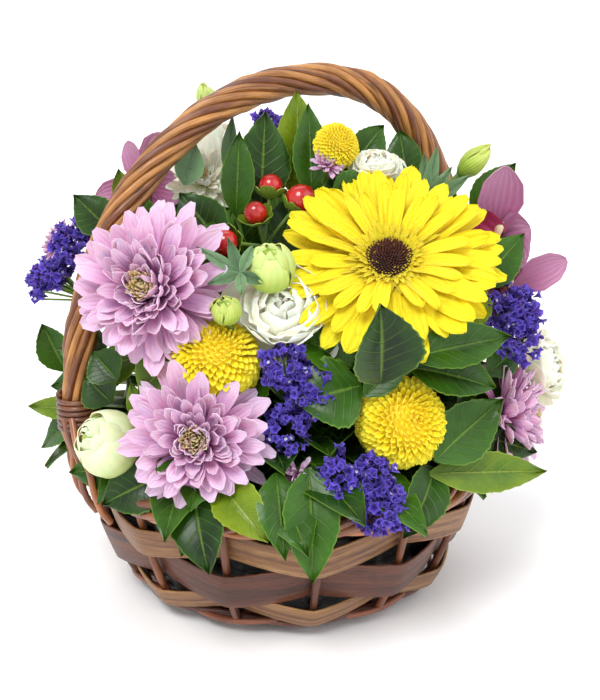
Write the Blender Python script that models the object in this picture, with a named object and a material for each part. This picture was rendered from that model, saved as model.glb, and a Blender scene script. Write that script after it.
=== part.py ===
"""Flower basket arrangement: a round willow basket with a hoop handle, a liner, wet foam and cut flowers.

Metres, +Z up. The origin is the centre of the base's underside and the handle's feet lie on the X axis.
A heading is an angle in the XY plane from +X, and a pitch is an angle above it, both in degrees.
"""

import math
from collections import namedtuple

import bmesh
import bpy
from mathutils import Vector

# Driving dimensions of the basket
BASE_RADIUS = 0.076
RIM_RADIUS = 0.112
RIM_HEIGHT = 0.0735
WALL_CURVE = 0.50  # exponent of the wall's outline: it leaves the base almost flat and ends almost upright
STAKES = 14
STAKE_RADIUS = 0.0016
GAP = 0.0003

# Woven bands: middle height, half height, and whether the band starts outside (+1) or inside (-1) a stake
CHIP_THICKNESS = 0.0014
BANDS = {
    "band_lower": (0.0180, 0.0052, 1),
    "band_middle": (0.0350, 0.0105, -1),
    "band_upper": (0.0555, 0.0078, 1),
}
BASE_ROD_RADIUS = 0.0021
BASE_ROD_HEIGHTS = {"base_rod_lower": 0.0026, "base_rod_upper": 0.0078}
BASE_THICKNESS = 0.005

# Rim: three strands laid round one another
RIM_STRAND_RADIUS = 0.0028
RIM_LAY_RADIUS = 0.0037
RIM_TURNS = 9

# Handle: eight willow rods wound round a core
HANDLE_FOOT_X = 0.1165
HANDLE_FOOT_HEIGHT = 0.100
HANDLE_TOP = 0.273
HANDLE_SQUARENESS = 2.2  # 2 is an ellipse, more is squarer
HANDLE_SKEW = 0.026
HANDLE_LEAN = 0.026
HANDLE_RODS = 8
HANDLE_ROD_RADIUS = 0.00235
HANDLE_LAY_RADIUS = 0.0065
HANDLE_CORE_RADIUS = 0.0038
HANDLE_TURNS = -2.2  # negative: a left-hand lay
HANDLE_LEG = (  # radius from the axis and height of the core below the feet, down inside the wall
    (0.1120, 0.0920),
    (0.1055, 0.0850),
    (0.1008, 0.0780),
    (0.0995, 0.0660),
    (0.0935, 0.0360),
)
BINDING_LOW = 0.1010
BINDING_HIGH = 0.1165
BINDING_INNER = 0.0099
BINDING_OUTER = 0.0117
BINDING_TAILS = (-24.0, 0.0, 24.0)  # slant of the rods that go over the rim at each foot
TAIL_RADIUS = 0.0019

# Liner and foam
LINER_TOP_RADIUS = 0.0880
LINER_BASE_RADIUS = 0.0660
LINER_BASE_HEIGHT = 0.0058
LINER_TOP_HEIGHT = 0.0730
LINER_WALL = 0.0010
FOAM_DOME = 0.0120
STEM_FOCUS = Vector((0.0, 0.0, 0.010))  # all the stems point at this place in the foam
STEM_DEPTH = 0.058  # distance from the focus to the cut end of each stem

Bloom = namedtuple("Bloom", "at heading pitch radius")

GERBERA = Bloom((0.029, -0.066, 0.195), -95, 48, 0.052)
MUMS = {
    "mum_left": Bloom((-0.086, -0.036, 0.178), -140, 35, 0.036),
    "mum_front": Bloom((-0.073, -0.077, 0.116), -136, 24, 0.030),
    "mum_right": Bloom((0.114, -0.067, 0.111), -15, 16, 0.024),
    "mum_white": Bloom((-0.024, 0.068, 0.212), 115, 52, 0.023),
    "mum_back": Bloom((0.020, 0.100, 0.146), 80, 26, 0.034),
}
BUTTONS = {
    "button_front": Bloom((0.026, -0.102, 0.119), -98, 22, 0.0205),
    "button_middle": Bloom((-0.053, -0.060, 0.152), -150, 62, 0.0190),
    "button_top": Bloom((0.049, 0.038, 0.232), 60, 60, 0.0165),
    "button_back": Bloom((-0.058, 0.092, 0.140), 122, 30, 0.0200),
}
LISIANTHUS = {
    "lisianthus_centre": Bloom((-0.014, -0.038, 0.170), -110, 38, 0.0195),
    "lisianthus_right": Bloom((0.146, -0.030, 0.118), -12, 20, 0.0180),
    "lisianthus_top": Bloom((0.084, 0.054, 0.218), 35, 52, 0.0185),
}
BUDS = {
    "bud_large": Bloom((-0.040, -0.060, 0.192), -120, 62, 0.0110),
    "bud_small": Bloom((-0.048, -0.040, 0.176), -130, 62, 0.0065),
    "bud_tall": Bloom((0.104, -0.018, 0.226), 10, 52, 0.0075),
    "rosebud_cream": Bloom((-0.109, -0.038, 0.099), -165, 24, 0.0160),
}
STATICE = {
    "statice_left": Bloom((-0.110, 0.054, 0.170), 152, 48, 0.0180),
    "statice_centre": Bloom((-0.022, -0.082, 0.134), -108, 45, 0.0135),
    "statice_front": Bloom((-0.006, -0.110, 0.100), -92, 20, 0.0150),
    "statice_right": Bloom((0.108, -0.062, 0.150), -35, 42, 0.0175),
    "statice_back": Bloom((0.085, 0.084, 0.128), 45, 32, 0.0180),
}
ORCHIDS = {
    "orchid_right": Bloom((0.118, -0.040, 0.194), -30, 18, 0.0320),
    "orchid_left": Bloom((-0.066, 0.064, 0.208), 145, 30, 0.0270),
}
BERRIES = (  # place and radius
    ((-0.044, -0.031, 0.200), 0.0062),
    ((-0.023, -0.018, 0.211), 0.0058),
    ((-0.010, -0.006, 0.222), 0.0062),
    ((0.002, -0.018, 0.216), 0.0075),
)
BERRY_FORK = Vector((-0.016, -0.012, 0.192))

LEAF_THICKNESS = 0.0011
LEAF_FAN = 12.5
COLLAR_HEADINGS = (-141, -103, -65, -27, 31, 69, 107, 146)
COLLAR_HEIGHT = 0.0850
COLLAR_REACH = (0.078, 0.142)
UPRIGHT_SPRIGS = {  # tip of the middle leaf, and the heading that its upper face looks to
    "leaves_top": ((0.012, 0.034, 0.244), -100),
    "leaves_right": ((0.122, 0.052, 0.188), -40),
    "leaves_left": ((-0.084, 0.034, 0.198), -160),
}
STEM_RADIUS = 0.0015

# Paint colours (linear RGB), roughness, metallic
FINISHES = {
    "willow_brown": ((0.30, 0.13, 0.05), 0.45, 0.0),
    "willow_honey": ((0.52, 0.25, 0.10), 0.40, 0.0),
    "chip_tan": ((0.30, 0.16, 0.07), 0.60, 0.0),
    "chip_dark": ((0.10, 0.04, 0.02), 0.55, 0.0),
    "liner_film": ((0.02, 0.02, 0.02), 0.40, 0.0),
    "wet_foam": ((0.05, 0.14, 0.05), 0.90, 0.0),
    "petal_yellow": ((0.90, 0.72, 0.02), 0.55, 0.0),
    "eye_maroon": ((0.05, 0.01, 0.01), 0.80, 0.0),
    "petal_pink": ((0.62, 0.34, 0.58), 0.60, 0.0),
    "petal_white": ((0.86, 0.86, 0.74), 0.60, 0.0),
    "bud_green": ((0.55, 0.68, 0.22), 0.50, 0.0),
    "orchid_pink": ((0.45, 0.14, 0.25), 0.45, 0.0),
    "statice_violet": ((0.07, 0.03, 0.42), 0.75, 0.0),
    "berry_red": ((0.48, 0.01, 0.01), 0.25, 0.0),
    "leaf_green": ((0.03, 0.13, 0.02), 0.40, 0.0),
}


def clear_scene():
    """Removes the objects that the start-up file brings."""
    for obj in list(bpy.data.objects):
        bpy.data.objects.remove(obj, do_unlink=True)


def material(name, finish):
    """A Principled material of its own for one part."""
    colour, roughness, metallic = FINISHES[finish]
    mat = bpy.data.materials.new(name + "_" + finish)
    mat.use_nodes = True
    shader = mat.node_tree.nodes["Principled BSDF"]
    shader.inputs["Base Color"].default_value = (*colour, 1.0)
    shader.inputs["Roughness"].default_value = roughness
    shader.inputs["Metallic"].default_value = metallic
    mat.diffuse_color = (*colour, 1.0)
    return mat


def loft(rings, closed=False):
    """A closed bmesh through rings of equal count: capped at its ends, or joined end to end."""
    bm = bmesh.new()
    loops = [[bm.verts.new(p) for p in ring] for ring in rings]
    count = len(rings[0])
    pairs = list(zip(loops, loops[1:]))
    if closed:
        pairs.append((loops[-1], loops[0]))
    for a, b in pairs:
        for i in range(count):
            j = (i + 1) % count
            bm.faces.new((a[i], a[j], b[j], b[i]))
    if not closed:
        bm.faces.new(loops[0][::-1])
        bm.faces.new(loops[-1])
    bmesh.ops.recalc_face_normals(bm, faces=bm.faces)
    return bm


def place(bm, name, finish, origin=Vector()):
    """Makes the named part from a bmesh in world coordinates, with its origin where it is held or carried."""
    bmesh.ops.translate(bm, verts=bm.verts, vec=-origin)
    mesh = bpy.data.meshes.new(name)
    bm.to_mesh(mesh)
    bm.free()
    obj = bpy.data.objects.new(name, mesh)
    bpy.context.collection.objects.link(obj)
    obj.location = origin
    mesh.shade_smooth()
    mesh.set_sharp_from_angle(angle=math.radians(50))
    mesh.materials.append(material(name, finish))
    return obj


def direction(heading, pitch):
    """Unit vector of a heading and a pitch in degrees."""
    h, p = math.radians(heading), math.radians(pitch)
    return Vector((math.cos(h) * math.cos(p), math.sin(h) * math.cos(p), math.sin(p)))


def frames(points, closed=False, side=Vector((0.0, 0.0, 1.0))):
    """Point, across and over vectors along a path, with over kept as near to side as the path allows."""
    count = len(points)
    found = []
    for i, p in enumerate(points):
        before = points[i - 1] if closed or i else points[0]
        after = points[(i + 1) % count] if closed or i < count - 1 else points[-1]
        tangent = (after - before).normalized()
        over = (side - tangent * side.dot(tangent)).normalized()
        found.append((p, tangent.cross(over), over))
    return found


def ellipse_ring(frame, across, over, sides, turn=0.5):
    """One ring of a sweep: an ellipse in the frame's plane."""
    p, a, o = frame
    angles = [2 * math.pi * (k + turn) / sides for k in range(sides)]
    return [p + a * across * math.cos(t) + o * over * math.sin(t) for t in angles]


def tube(points, radius, sides=6, closed=False, side=Vector((0.0, 0.0, 1.0))):
    """A round rod along a path."""
    path = frames(points, closed, side)
    return loft([ellipse_ring(f, radius, radius, sides) for f in path], closed)


def united(name, solids, finish, origin):
    """One part from several overlapping closed solids, by Boolean union."""
    whole = place(solids[0], name, finish, origin)
    for i, bm in enumerate(solids[1:]):
        piece = place(bm, f"{name}_piece_{i}", finish)
        piece.hide_render = True
        piece.display_type = "WIRE"
        union = whole.modifiers.new(f"join_{i}", "BOOLEAN")
        union.operation = "UNION"
        union.solver = "MANIFOLD"
        union.object = piece
    return whole


# ---------------------------------------------------------------- basket


def wall_radius(z):
    """Radius of the stakes' centre line at a height."""
    rise = max(z, 0.0) / RIM_HEIGHT
    return BASE_RADIUS + (RIM_RADIUS - BASE_RADIUS) * rise**WALL_CURVE


def polar(radius, angle, z):
    """A point from cylindrical coordinates, the angle in radians."""
    return Vector((radius * math.cos(angle), radius * math.sin(angle), z))


def stake_angle(index):
    """Angle of one upright stake. The first and the eighth stand outside the handle's legs."""
    return 2 * math.pi * index / STAKES


def build_base():
    """The flat disc that the basket stands on."""
    edge = BASE_RADIUS - 2 * STAKE_RADIUS - GAP
    rings = [
        [polar(r, 2 * math.pi * k / 28, z) for k in range(28)]
        for r, z in ((edge - 0.001, 0.0), (edge, 0.001), (edge, BASE_THICKNESS))
    ]
    place(loft(rings), "base_disc", "willow_brown")


def stake_path(angle):
    """Centre line of one stake, from the hoop at the base to just under the rim."""
    heights = (0.0078, 0.015, 0.027, 0.044, 0.0655)
    start = polar(BASE_RADIUS - 0.001, angle, 0.0066)
    return [start] + [polar(wall_radius(z) - 0.0002, angle, z) for z in heights]


def build_stakes():
    """Fourteen stakes standing on one hoop round the base."""
    hoop_at = [polar(BASE_RADIUS - 0.001, 2 * math.pi * k / 28, 0.0076) for k in range(28)]
    solids = [tube(hoop_at, 0.0021, sides=5, closed=True)]
    for i in range(STAKES):
        path = stake_path(stake_angle(i))
        solids.append(tube(path, STAKE_RADIUS, sides=5, side=polar(1.0, stake_angle(i) + math.pi / 2, 0)))
    united("stake_frame", solids, "willow_brown", Vector())


def build_base_rods():
    """Two rods round the foot of the wall, outside the stakes."""
    for name, z in BASE_ROD_HEIGHTS.items():
        radius = wall_radius(z) + STAKE_RADIUS + BASE_ROD_RADIUS + GAP
        if z < BASE_THICKNESS:
            radius = BASE_RADIUS + BASE_ROD_RADIUS
        path = [polar(radius, 2 * math.pi * k / 42, z) for k in range(42)]
        place(tube(path, BASE_ROD_RADIUS, sides=5, closed=True), name, "willow_brown")


def band_ring(angle, middle, half, phase):
    """Cross-section of a woven band: a thin slat along the wall's slope, in front of or behind the stakes."""
    weave = math.cos((angle - stake_angle(0)) * STAKES / 2)
    out = phase * weave * (STAKE_RADIUS + CHIP_THICKNESS / 2 + GAP)
    low = Vector((wall_radius(middle - half), middle - half))
    high = Vector((wall_radius(middle + half), middle + half))
    normal = Vector((high.y - low.y, low.x - high.x)).normalized()
    ring = []
    for end, face in ((low, -1), (high, -1), (high, 1), (low, 1)):
        at = end + normal * (out + face * CHIP_THICKNESS / 2)
        ring.append(polar(at.x, angle, at.y))
    return ring


def build_bands():
    """Three flat chip bands woven in turn over and under the stakes."""
    steps = STAKES * 4
    for name, (middle, half, phase) in BANDS.items():
        rings = [band_ring(2 * math.pi * k / steps, middle, half, phase) for k in range(steps)]
        place(loft(rings, closed=True), name, "chip_dark" if name == "band_middle" else "chip_tan")


def build_rim():
    """Three strands laid round one another along the rim."""
    steps = 63
    for strand in range(3):
        path = []
        for k in range(steps):
            angle = 2 * math.pi * k / steps
            lay = RIM_TURNS * angle + 2 * math.pi * strand / 3
            radius = RIM_RADIUS + RIM_LAY_RADIUS * math.cos(lay)
            path.append(polar(radius, angle, RIM_HEIGHT + RIM_LAY_RADIUS * math.sin(lay)))
        place(tube(path, RIM_STRAND_RADIUS, sides=5, closed=True), f"rim_strand_{strand + 1}", "willow_brown")


def handle_point(share):
    """Point of the handle's centre line, from the left foot (0) over the top to the right foot (1)."""
    angle = math.pi * share
    power = 2 / HANDLE_SQUARENESS
    across, up = math.cos(angle), math.sin(angle)
    x = -math.copysign(abs(across) ** power, across) * HANDLE_FOOT_X + HANDLE_SKEW * up * up
    rise = max(up, 0.0) ** power
    return Vector((x, HANDLE_LEAN * rise, HANDLE_FOOT_HEIGHT + (HANDLE_TOP - HANDLE_FOOT_HEIGHT) * rise))


def build_handle_core():
    """The thick core rod: down inside the wall at each foot, and over the arch between."""
    leg = [Vector((-r, 0, z)) for r, z in reversed(HANDLE_LEG)]
    arch = [handle_point(k / 28) for k in range(29)]
    other = [Vector((-p.x, 0, p.z)) for p in reversed(leg)]
    core = tube(leg + arch + other, HANDLE_CORE_RADIUS, sides=5, side=Vector((0, 1, 0)))
    place(core, "handle_core", "willow_honey")


def build_handle_rods():
    """Eight rods wound round the core from foot to foot, all in the same sense."""
    steps = 30
    arch = frames([handle_point(k / steps) for k in range(steps + 1)], side=Vector((0, 1, 0)))
    for rod in range(HANDLE_RODS):
        path = []
        for k, (p, across, over) in enumerate(arch):
            lay = 2 * math.pi * (HANDLE_TURNS * k / steps + rod / HANDLE_RODS)
            path.append(p + HANDLE_LAY_RADIUS * (across * math.cos(lay) + over * math.sin(lay)))
        bm = tube(path, HANDLE_ROD_RADIUS, sides=5, side=Vector((0, 1, 0)))
        place(bm, f"handle_rod_{rod + 1}", "willow_honey")


def handle_share(z):
    """Share of the way along the handle's left half at which its centre line reaches a height."""
    rise = (z - HANDLE_FOOT_HEIGHT) / (HANDLE_TOP - HANDLE_FOOT_HEIGHT)
    return math.asin(rise ** (HANDLE_SQUARENESS / 2)) / math.pi


def binding_sleeve(side):
    """The close winding round the handle just above its foot: a sleeve, open right through."""
    sides = 14
    outline = []
    for share in (0.0, 0.5, 1.0):
        outline.append((BINDING_LOW + (BINDING_HIGH - BINDING_LOW) * share, BINDING_OUTER))
    for share in (1.0, 0.0):
        outline.append((BINDING_LOW + (BINDING_HIGH - BINDING_LOW) * share, BINDING_INNER))
    rings = []
    for z, radius in outline:
        share = handle_share(z)
        at = handle_point(share if side < 0 else 1 - share)
        rings.append([at + polar(radius, 2 * math.pi * (k + 0.5) / sides, 0) for k in range(sides)])
    return loft(rings, closed=True)


def build_bindings():
    """Each foot's binding: the winding, and its three tails over the rim and down outside the wall."""
    for side, name in ((-1, "binding_left"), (1, "binding_right")):
        solids = [binding_sleeve(side)]
        outside = RIM_RADIUS + RIM_LAY_RADIUS + RIM_STRAND_RADIUS + TAIL_RADIUS + 2 * GAP
        for slant in BINDING_TAILS:
            fan = math.radians(slant)
            top = Vector((side * HANDLE_FOOT_X, 0, 0.104))
            start = (BINDING_INNER + BINDING_OUTER) / 2 + TAIL_RADIUS * 0.7
            top += polar(start, (0 if side > 0 else math.pi) + 2.2 * fan * side, 0)
            path = [top]
            for radius, z, spread in (
                (outside + 0.0016, 0.090, 0.25),
                (outside, 0.076, 0.42),
                (outside, 0.058, 0.50),
            ):
                turn = fan * spread
                path.append(Vector((side * radius * math.cos(turn), radius * math.sin(turn), z)))
            solids.append(tube(path, TAIL_RADIUS, side=Vector((0, 1, 0))))
        united(name, solids, "willow_brown", Vector((side * HANDLE_FOOT_X, 0, 0.104)))


# ---------------------------------------------------------------- liner and foam


def turned(profile, sides):
    """A solid turned about Z from an outline of (radius, height), closed at both ends."""
    return loft([[polar(r, 2 * math.pi * k / sides, z) for k in range(sides)] for r, z in profile])


def build_liner():
    """The thin plastic cup that keeps the water in."""
    low, high, wall = LINER_BASE_HEIGHT, LINER_TOP_HEIGHT, LINER_WALL
    outline = ((LINER_BASE_RADIUS, low), (LINER_TOP_RADIUS, high), (LINER_TOP_RADIUS - wall, high),
               (LINER_BASE_RADIUS - wall, low + wall))
    place(turned(outline, 32), "liner", "liner_film")


def foam_solid():
    """The block of wet foam, cut to the liner, with a low dome on top."""
    low = LINER_BASE_HEIGHT + LINER_WALL + GAP
    clear = LINER_WALL + 2 * GAP
    outline = [(LINER_BASE_RADIUS - clear - 0.001, low), (LINER_TOP_RADIUS - clear - 0.001, LINER_TOP_HEIGHT)]
    for angle in (25, 50, 72):
        a = math.radians(angle)
        outline.append(((LINER_TOP_RADIUS - 0.004) * math.cos(a), LINER_TOP_HEIGHT + FOAM_DOME * math.sin(a)))
    return turned(outline, 28)


def build_foam(stems):
    """The foam, with a hole for each stem that stands in it."""
    foam = place(foam_solid(), "foam", "wet_foam")
    for i, (path, radius) in enumerate(stems):
        below = path[0] - (path[1] - path[0]).normalized() * GAP * 2
        hole = tube([below] + path[1:], radius + GAP * 3, sides=5, side=Vector((0, 1, 0)))
        cutter = place(hole, f"stem_hole_{i}", "wet_foam")
        cutter.hide_render = True
        cutter.display_type = "WIRE"
        cut = foam.modifiers.new(f"hole_{i}", "BOOLEAN")
        cut.operation = "DIFFERENCE"
        cut.object = cutter


# ---------------------------------------------------------------- blooms


def stem_start(toward):
    """Cut end of a stem that heads for a place."""
    return STEM_FOCUS + (toward - STEM_FOCUS).normalized() * STEM_DEPTH


def stem_path(base, facing, bend, steps=4):
    """A stem straight out of the foam, then curving until it faces the way its bloom does."""
    knee = base - facing * bend
    start = stem_start(knee)
    grip = start + (knee - start) * 0.35
    path = [start]
    for k in range(steps + 1):
        s = k / steps
        path.append(grip * (1 - s) ** 2 + knee * 2 * s * (1 - s) + base * s * s)
    return path


def bloom_solid(bloom, profile, sides, stem_radius, wave=None, bend=0.20):
    """Stem and bloom in one sweep. The profile is (distance ahead of the bloom's place, radius), in radii."""
    facing = direction(bloom.heading, bloom.pitch)
    at = Vector(bloom.at)
    base = at + facing * profile[0][0] * bloom.radius
    path = stem_path(base - facing * 0.002, facing, bend * (base - STEM_FOCUS).length)
    side = Vector((0, 0, 1)) if abs(facing.z) < 0.9 else Vector((0, 1, 0))
    rings = [ellipse_ring(f, stem_radius, stem_radius, sides) for f in frames(path, side=side)]
    _, across, over = frames([base, base + facing], side=side)[0]
    for ahead, radius in profile:
        ring = []
        for k in range(sides):
            t = 2 * math.pi * (k + 0.5) / sides
            r = bloom.radius * radius * (wave(t) if wave else 1.0)
            middle = at + facing * ahead * bloom.radius
            ring.append(middle + across * r * math.cos(t) + over * r * math.sin(t))
        rings.append(ring)
    return loft(rings), (path, stem_radius)


def petal_wave(count, depth):
    """Outline factor of a round head with a number of petal tips."""
    return lambda t: 1.0 - depth * (0.5 - 0.5 * math.cos(count * (t - math.pi / 2 / count)))


HEAD_PROFILES = {
    "mum": ((-0.52, 0.16), (-0.42, 0.60), (-0.12, 0.98), (0.12, 0.86), (0.32, 0.55), (0.40, 0.22)),
    "button": ((-0.62, 0.18), (-0.50, 0.62), (-0.15, 0.98), (0.20, 0.92), (0.48, 0.62), (0.58, 0.25)),
    "lisianthus": ((-0.95, 0.14), (-0.75, 0.45), (-0.20, 0.78), (0.20, 1.00), (0.32, 0.72), (0.24, 0.30)),
    "bud": ((-1.20, 0.30), (-0.80, 0.85), (-0.10, 1.00), (0.60, 0.80), (1.10, 0.40), (1.20, 0.15)),
    "statice": ((-0.85, 0.15), (-0.45, 0.70), (0.05, 1.00), (0.50, 0.80), (0.80, 0.35)),
}


def build_heads(blooms, kind, finish, stem_radius, waves):
    """Every bloom of one kind, and where its stem stands in the foam."""
    stems = []
    for name, bloom in blooms.items():
        count, depth, sides = waves
        solid, stem = bloom_solid(bloom, HEAD_PROFILES[kind], sides, stem_radius, petal_wave(count, depth))
        tint = {"mum_white": "petal_white", "rosebud_cream": "petal_white"}.get(name, finish)
        place(solid, name, tint, Vector(bloom.at))
        stems.append(stem)
    return stems


def build_gerbera():
    """The gerbera: a shallow cone of ray petals with its stem, and a separate dark eye in its hollow."""
    profile = ((-0.30, 0.09), (-0.26, 0.22), (-0.06, 0.98), (0.0, 1.0), (-0.08, 0.30), (-0.10, 0.235))
    solid, stem = bloom_solid(GERBERA, profile, 32, 0.0026, petal_wave(16, 0.12), bend=0.26)
    facing = direction(GERBERA.heading, GERBERA.pitch)
    at = Vector(GERBERA.at)
    place(solid, "gerbera_rays", "petal_yellow", at)
    _, across, over = frames([at, at + facing], side=Vector((0, 0, 1)))[0]
    rings = []
    for ahead, radius in ((-0.092, 0.22), (-0.03, 0.235), (0.02, 0.17), (0.035, 0.06)):
        middle = at + facing * ahead * GERBERA.radius
        size = radius * GERBERA.radius
        rings.append(ellipse_ring((middle, across, over), size, size, 16))
    place(loft(rings), "gerbera_eye", "eye_maroon", at)
    return [stem]


def blade(start, tip, face, width, droop=0.0, lift=0.12, stations=4):
    """A leaf or tepal: a thin closed blade from its stalk to its tip, folded a little along its midrib."""
    along = tip - start
    up = (face - along * (face.dot(along) / along.length_squared)).normalized()
    across = along.normalized().cross(up)
    rings = []
    for k in range(stations + 1):
        s = k / stations
        middle = start + along * s - up * droop * s * s * along.length
        half = max(width * math.sin(math.pi * min(s**0.85, 0.985)) ** 0.8, 0.0009)
        thick = LEAF_THICKNESS / 2
        edge = up * half * lift
        rings.append([middle - across * half + edge, middle + up * thick, middle + across * half + edge,
                      middle - up * thick])
    return loft(rings)


def build_orchids():
    """Cymbidium blooms: five tepals and a lip round a short column, on a stem."""
    stems = []
    for name, bloom in ORCHIDS.items():
        facing = direction(bloom.heading, bloom.pitch)
        at = Vector(bloom.at)
        knob = Bloom(bloom.at, bloom.heading, bloom.pitch, 0.0058)
        solid, stem = bloom_solid(knob, HEAD_PROFILES["bud"], 8, STEM_RADIUS)
        _, across, over = frames([at, at + facing], side=Vector((0, 0, 1)))[0]
        solids = [solid]
        for angle in (90, 30, 150, -38, 218):
            t = math.radians(angle)
            out = across * math.cos(t) + over * math.sin(t)
            tip = at + out * bloom.radius + facing * bloom.radius * 0.22
            solids.append(blade(at + out * 0.0015, tip, facing, bloom.radius * 0.27, lift=0.2))
        lip_tip = at - over * bloom.radius * 0.55 + facing * bloom.radius * 0.5
        solids.append(blade(at, lip_tip, over + facing, bloom.radius * 0.24))
        united(name, solids, "orchid_pink", at)
        stems.append(stem)
    return stems


def build_hypericum():
    """A forked sprig with four berries."""
    start = stem_start(BERRY_FORK)
    stalk = [start, start + (BERRY_FORK - start) * 0.4, BERRY_FORK]
    solids = [tube(stalk, STEM_RADIUS, side=Vector((0, 1, 0)))]
    for at, radius in BERRIES:
        place_at = Vector(at)
        solids.append(tube([BERRY_FORK - Vector((0, 0, 0.0008)), place_at], 0.0009, side=Vector((0, 1, 0))))
        ball = bmesh.new()
        bmesh.ops.create_icosphere(ball, subdivisions=2, radius=radius)
        bmesh.ops.translate(ball, verts=ball.verts, vec=place_at)
        solids.append(ball)
    united("hypericum", solids, "berry_red", BERRY_FORK)
    return [(stalk, STEM_RADIUS)]


def build_collar():
    """Eight sprigs of three leaves that lie over the rim all round, clear of the handle's feet."""
    stems = []
    near, far = COLLAR_REACH
    for i, heading in enumerate(COLLAR_HEADINGS):
        middle = math.radians(heading)
        node = polar(near, middle, COLLAR_HEIGHT)
        start = stem_start(node - Vector((0, 0, 0.004)))
        stalk = [start, node - Vector((0, 0, 0.0004)), polar(near + 0.006, middle, COLLAR_HEIGHT)]
        solids = [tube(stalk, STEM_RADIUS, sides=5)]
        for k, fan in enumerate((-LEAF_FAN, 0.0, LEAF_FAN)):
            tip = polar(far, middle + math.radians(fan), COLLAR_HEIGHT + 0.004)
            root = polar(near + 0.0013 * k, middle, COLLAR_HEIGHT - 0.0002 * k)
            solids.append(blade(root, tip, Vector((0, 0, 1)), 0.0115, droop=0.03, lift=0.08))
        united(f"leaves_collar_{i + 1}", solids, "leaf_green", node)
        stems.append((stalk, STEM_RADIUS))
    return stems


def build_upright_leaves():
    """Three sprigs that stand up among the blooms."""
    stems = []
    for name, (tip, heading) in UPRIGHT_SPRIGS.items():
        top = Vector(tip)
        start = stem_start(top)
        node = top + (start - top).normalized() * 0.066
        face = direction(heading, 10)
        across = (top - start).normalized().cross(face).normalized()
        along = (top - start).normalized()
        stalk = [start, start + (node - start) * 0.5, node + along * 0.006]
        solids = [tube(stalk, STEM_RADIUS, sides=5, side=Vector((0, 1, 0)))]
        for k, (lean, drop) in enumerate(((0.0, 0.0), (0.020, 0.016), (-0.020, 0.016))):
            aim = top + across * lean - along * drop
            solids.append(blade(node + along * 0.0019 * k, aim, face, 0.0105, lift=0.1))
        united(name, solids, "leaf_green", node)
        stems.append((stalk, STEM_RADIUS))
    return stems


def main():
    """Builds the basket from its base up, then the foam with the stems that stand in it."""
    clear_scene()
    build_base()
    build_stakes()
    build_base_rods()
    build_bands()
    build_rim()
    build_handle_core()
    build_handle_rods()
    build_bindings()
    build_liner()
    stems = build_gerbera()
    stems += build_heads(MUMS, "mum", "petal_pink", 0.0019, (8, 0.14, 16))
    stems += build_heads(BUTTONS, "button", "petal_yellow", 0.0018, (12, 0.04, 12))
    stems += build_heads(LISIANTHUS, "lisianthus", "petal_white", 0.0018, (5, 0.14, 10))
    stems += build_heads(BUDS, "bud", "bud_green", 0.0016, (4, 0.06, 8))
    stems += build_heads(STATICE, "statice", "statice_violet", STEM_RADIUS, (5, 0.16, 10))
    stems += build_orchids()
    stems += build_hypericum()
    stems += build_collar()
    stems += build_upright_leaves()
    build_foam(stems)


main()
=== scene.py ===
"""Flower basket arrangement: the basket, the flowers and the leaves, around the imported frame.

Metres, +Z up. The origin is the centre of the base's underside and the handle's feet lie on the X axis.
A heading is an angle in the XY plane from +X, and a pitch is an angle above it, both in degrees.
"""

import logging
import math
from dataclasses import dataclass, field
from enum import Enum
from functools import cache
from typing import ClassVar, Sequence

import bpy
import numpy as np
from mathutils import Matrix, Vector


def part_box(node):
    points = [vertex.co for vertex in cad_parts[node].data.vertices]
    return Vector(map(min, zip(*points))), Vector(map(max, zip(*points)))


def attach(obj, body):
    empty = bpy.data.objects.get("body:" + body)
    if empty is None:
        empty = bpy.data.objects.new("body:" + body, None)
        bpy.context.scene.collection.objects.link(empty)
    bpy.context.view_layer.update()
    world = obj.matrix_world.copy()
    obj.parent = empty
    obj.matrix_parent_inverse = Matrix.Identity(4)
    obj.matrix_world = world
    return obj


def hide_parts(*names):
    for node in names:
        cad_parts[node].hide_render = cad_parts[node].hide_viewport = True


log = logging.getLogger("flower_basket")
GOLDEN_ANGLE = math.pi * (3.0 - math.sqrt(5.0))
Array = np.ndarray
Value = "Wire | float | tuple | Array"


def paint(red: int, green: int, blue: int) -> tuple[float, float, float, float]:
    """A display colour, 0 to 255, as the linear colour that a shader takes."""
    linear = [((c / 255 + 0.055) / 1.055) ** 2.4 if c > 10 else c / 255 / 12.92 for c in (red, green, blue)]
    return (linear[0], linear[1], linear[2], 1.0)


# ---------------------------------------------------------------- materials


class Wire:
    """A node's output that takes part in arithmetic: each operator adds its Math node."""

    def __init__(self, net: "Net", socket: bpy.types.NodeSocket) -> None:
        """Keeps the net and the output socket."""
        self.net = net
        self.socket = socket

    def maths(self, operation: str, other: "Wire | float" = 0.0, swap: bool = False) -> "Wire":
        """Adds one Math node, with this wire second where swap is set."""
        pair = (other, self) if swap else (self, other)
        return self.net.add("ShaderNodeMath", {"operation": operation}, {0: pair[0], 1: pair[1]})

    def __add__(self, other: "Wire | float") -> "Wire":
        """Sum."""
        return self.maths("ADD", other)

    __radd__ = __add__

    def __sub__(self, other: "Wire | float") -> "Wire":
        """Difference."""
        return self.maths("SUBTRACT", other)

    def __rsub__(self, other: "Wire | float") -> "Wire":
        """Difference, the other way round."""
        return self.maths("SUBTRACT", other, swap=True)

    def __mul__(self, other: "Wire | float") -> "Wire":
        """Product."""
        return self.maths("MULTIPLY", other)

    __rmul__ = __mul__

    def size(self) -> "Wire":
        """Absolute value."""
        return self.maths("ABSOLUTE")

    def sine(self) -> "Wire":
        """Sine of a value in radians."""
        return self.maths("SINE")

    def above(self, edge: float) -> "Wire":
        """1 where the value is over an edge, else 0."""
        return self.maths("GREATER_THAN", edge)


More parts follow.
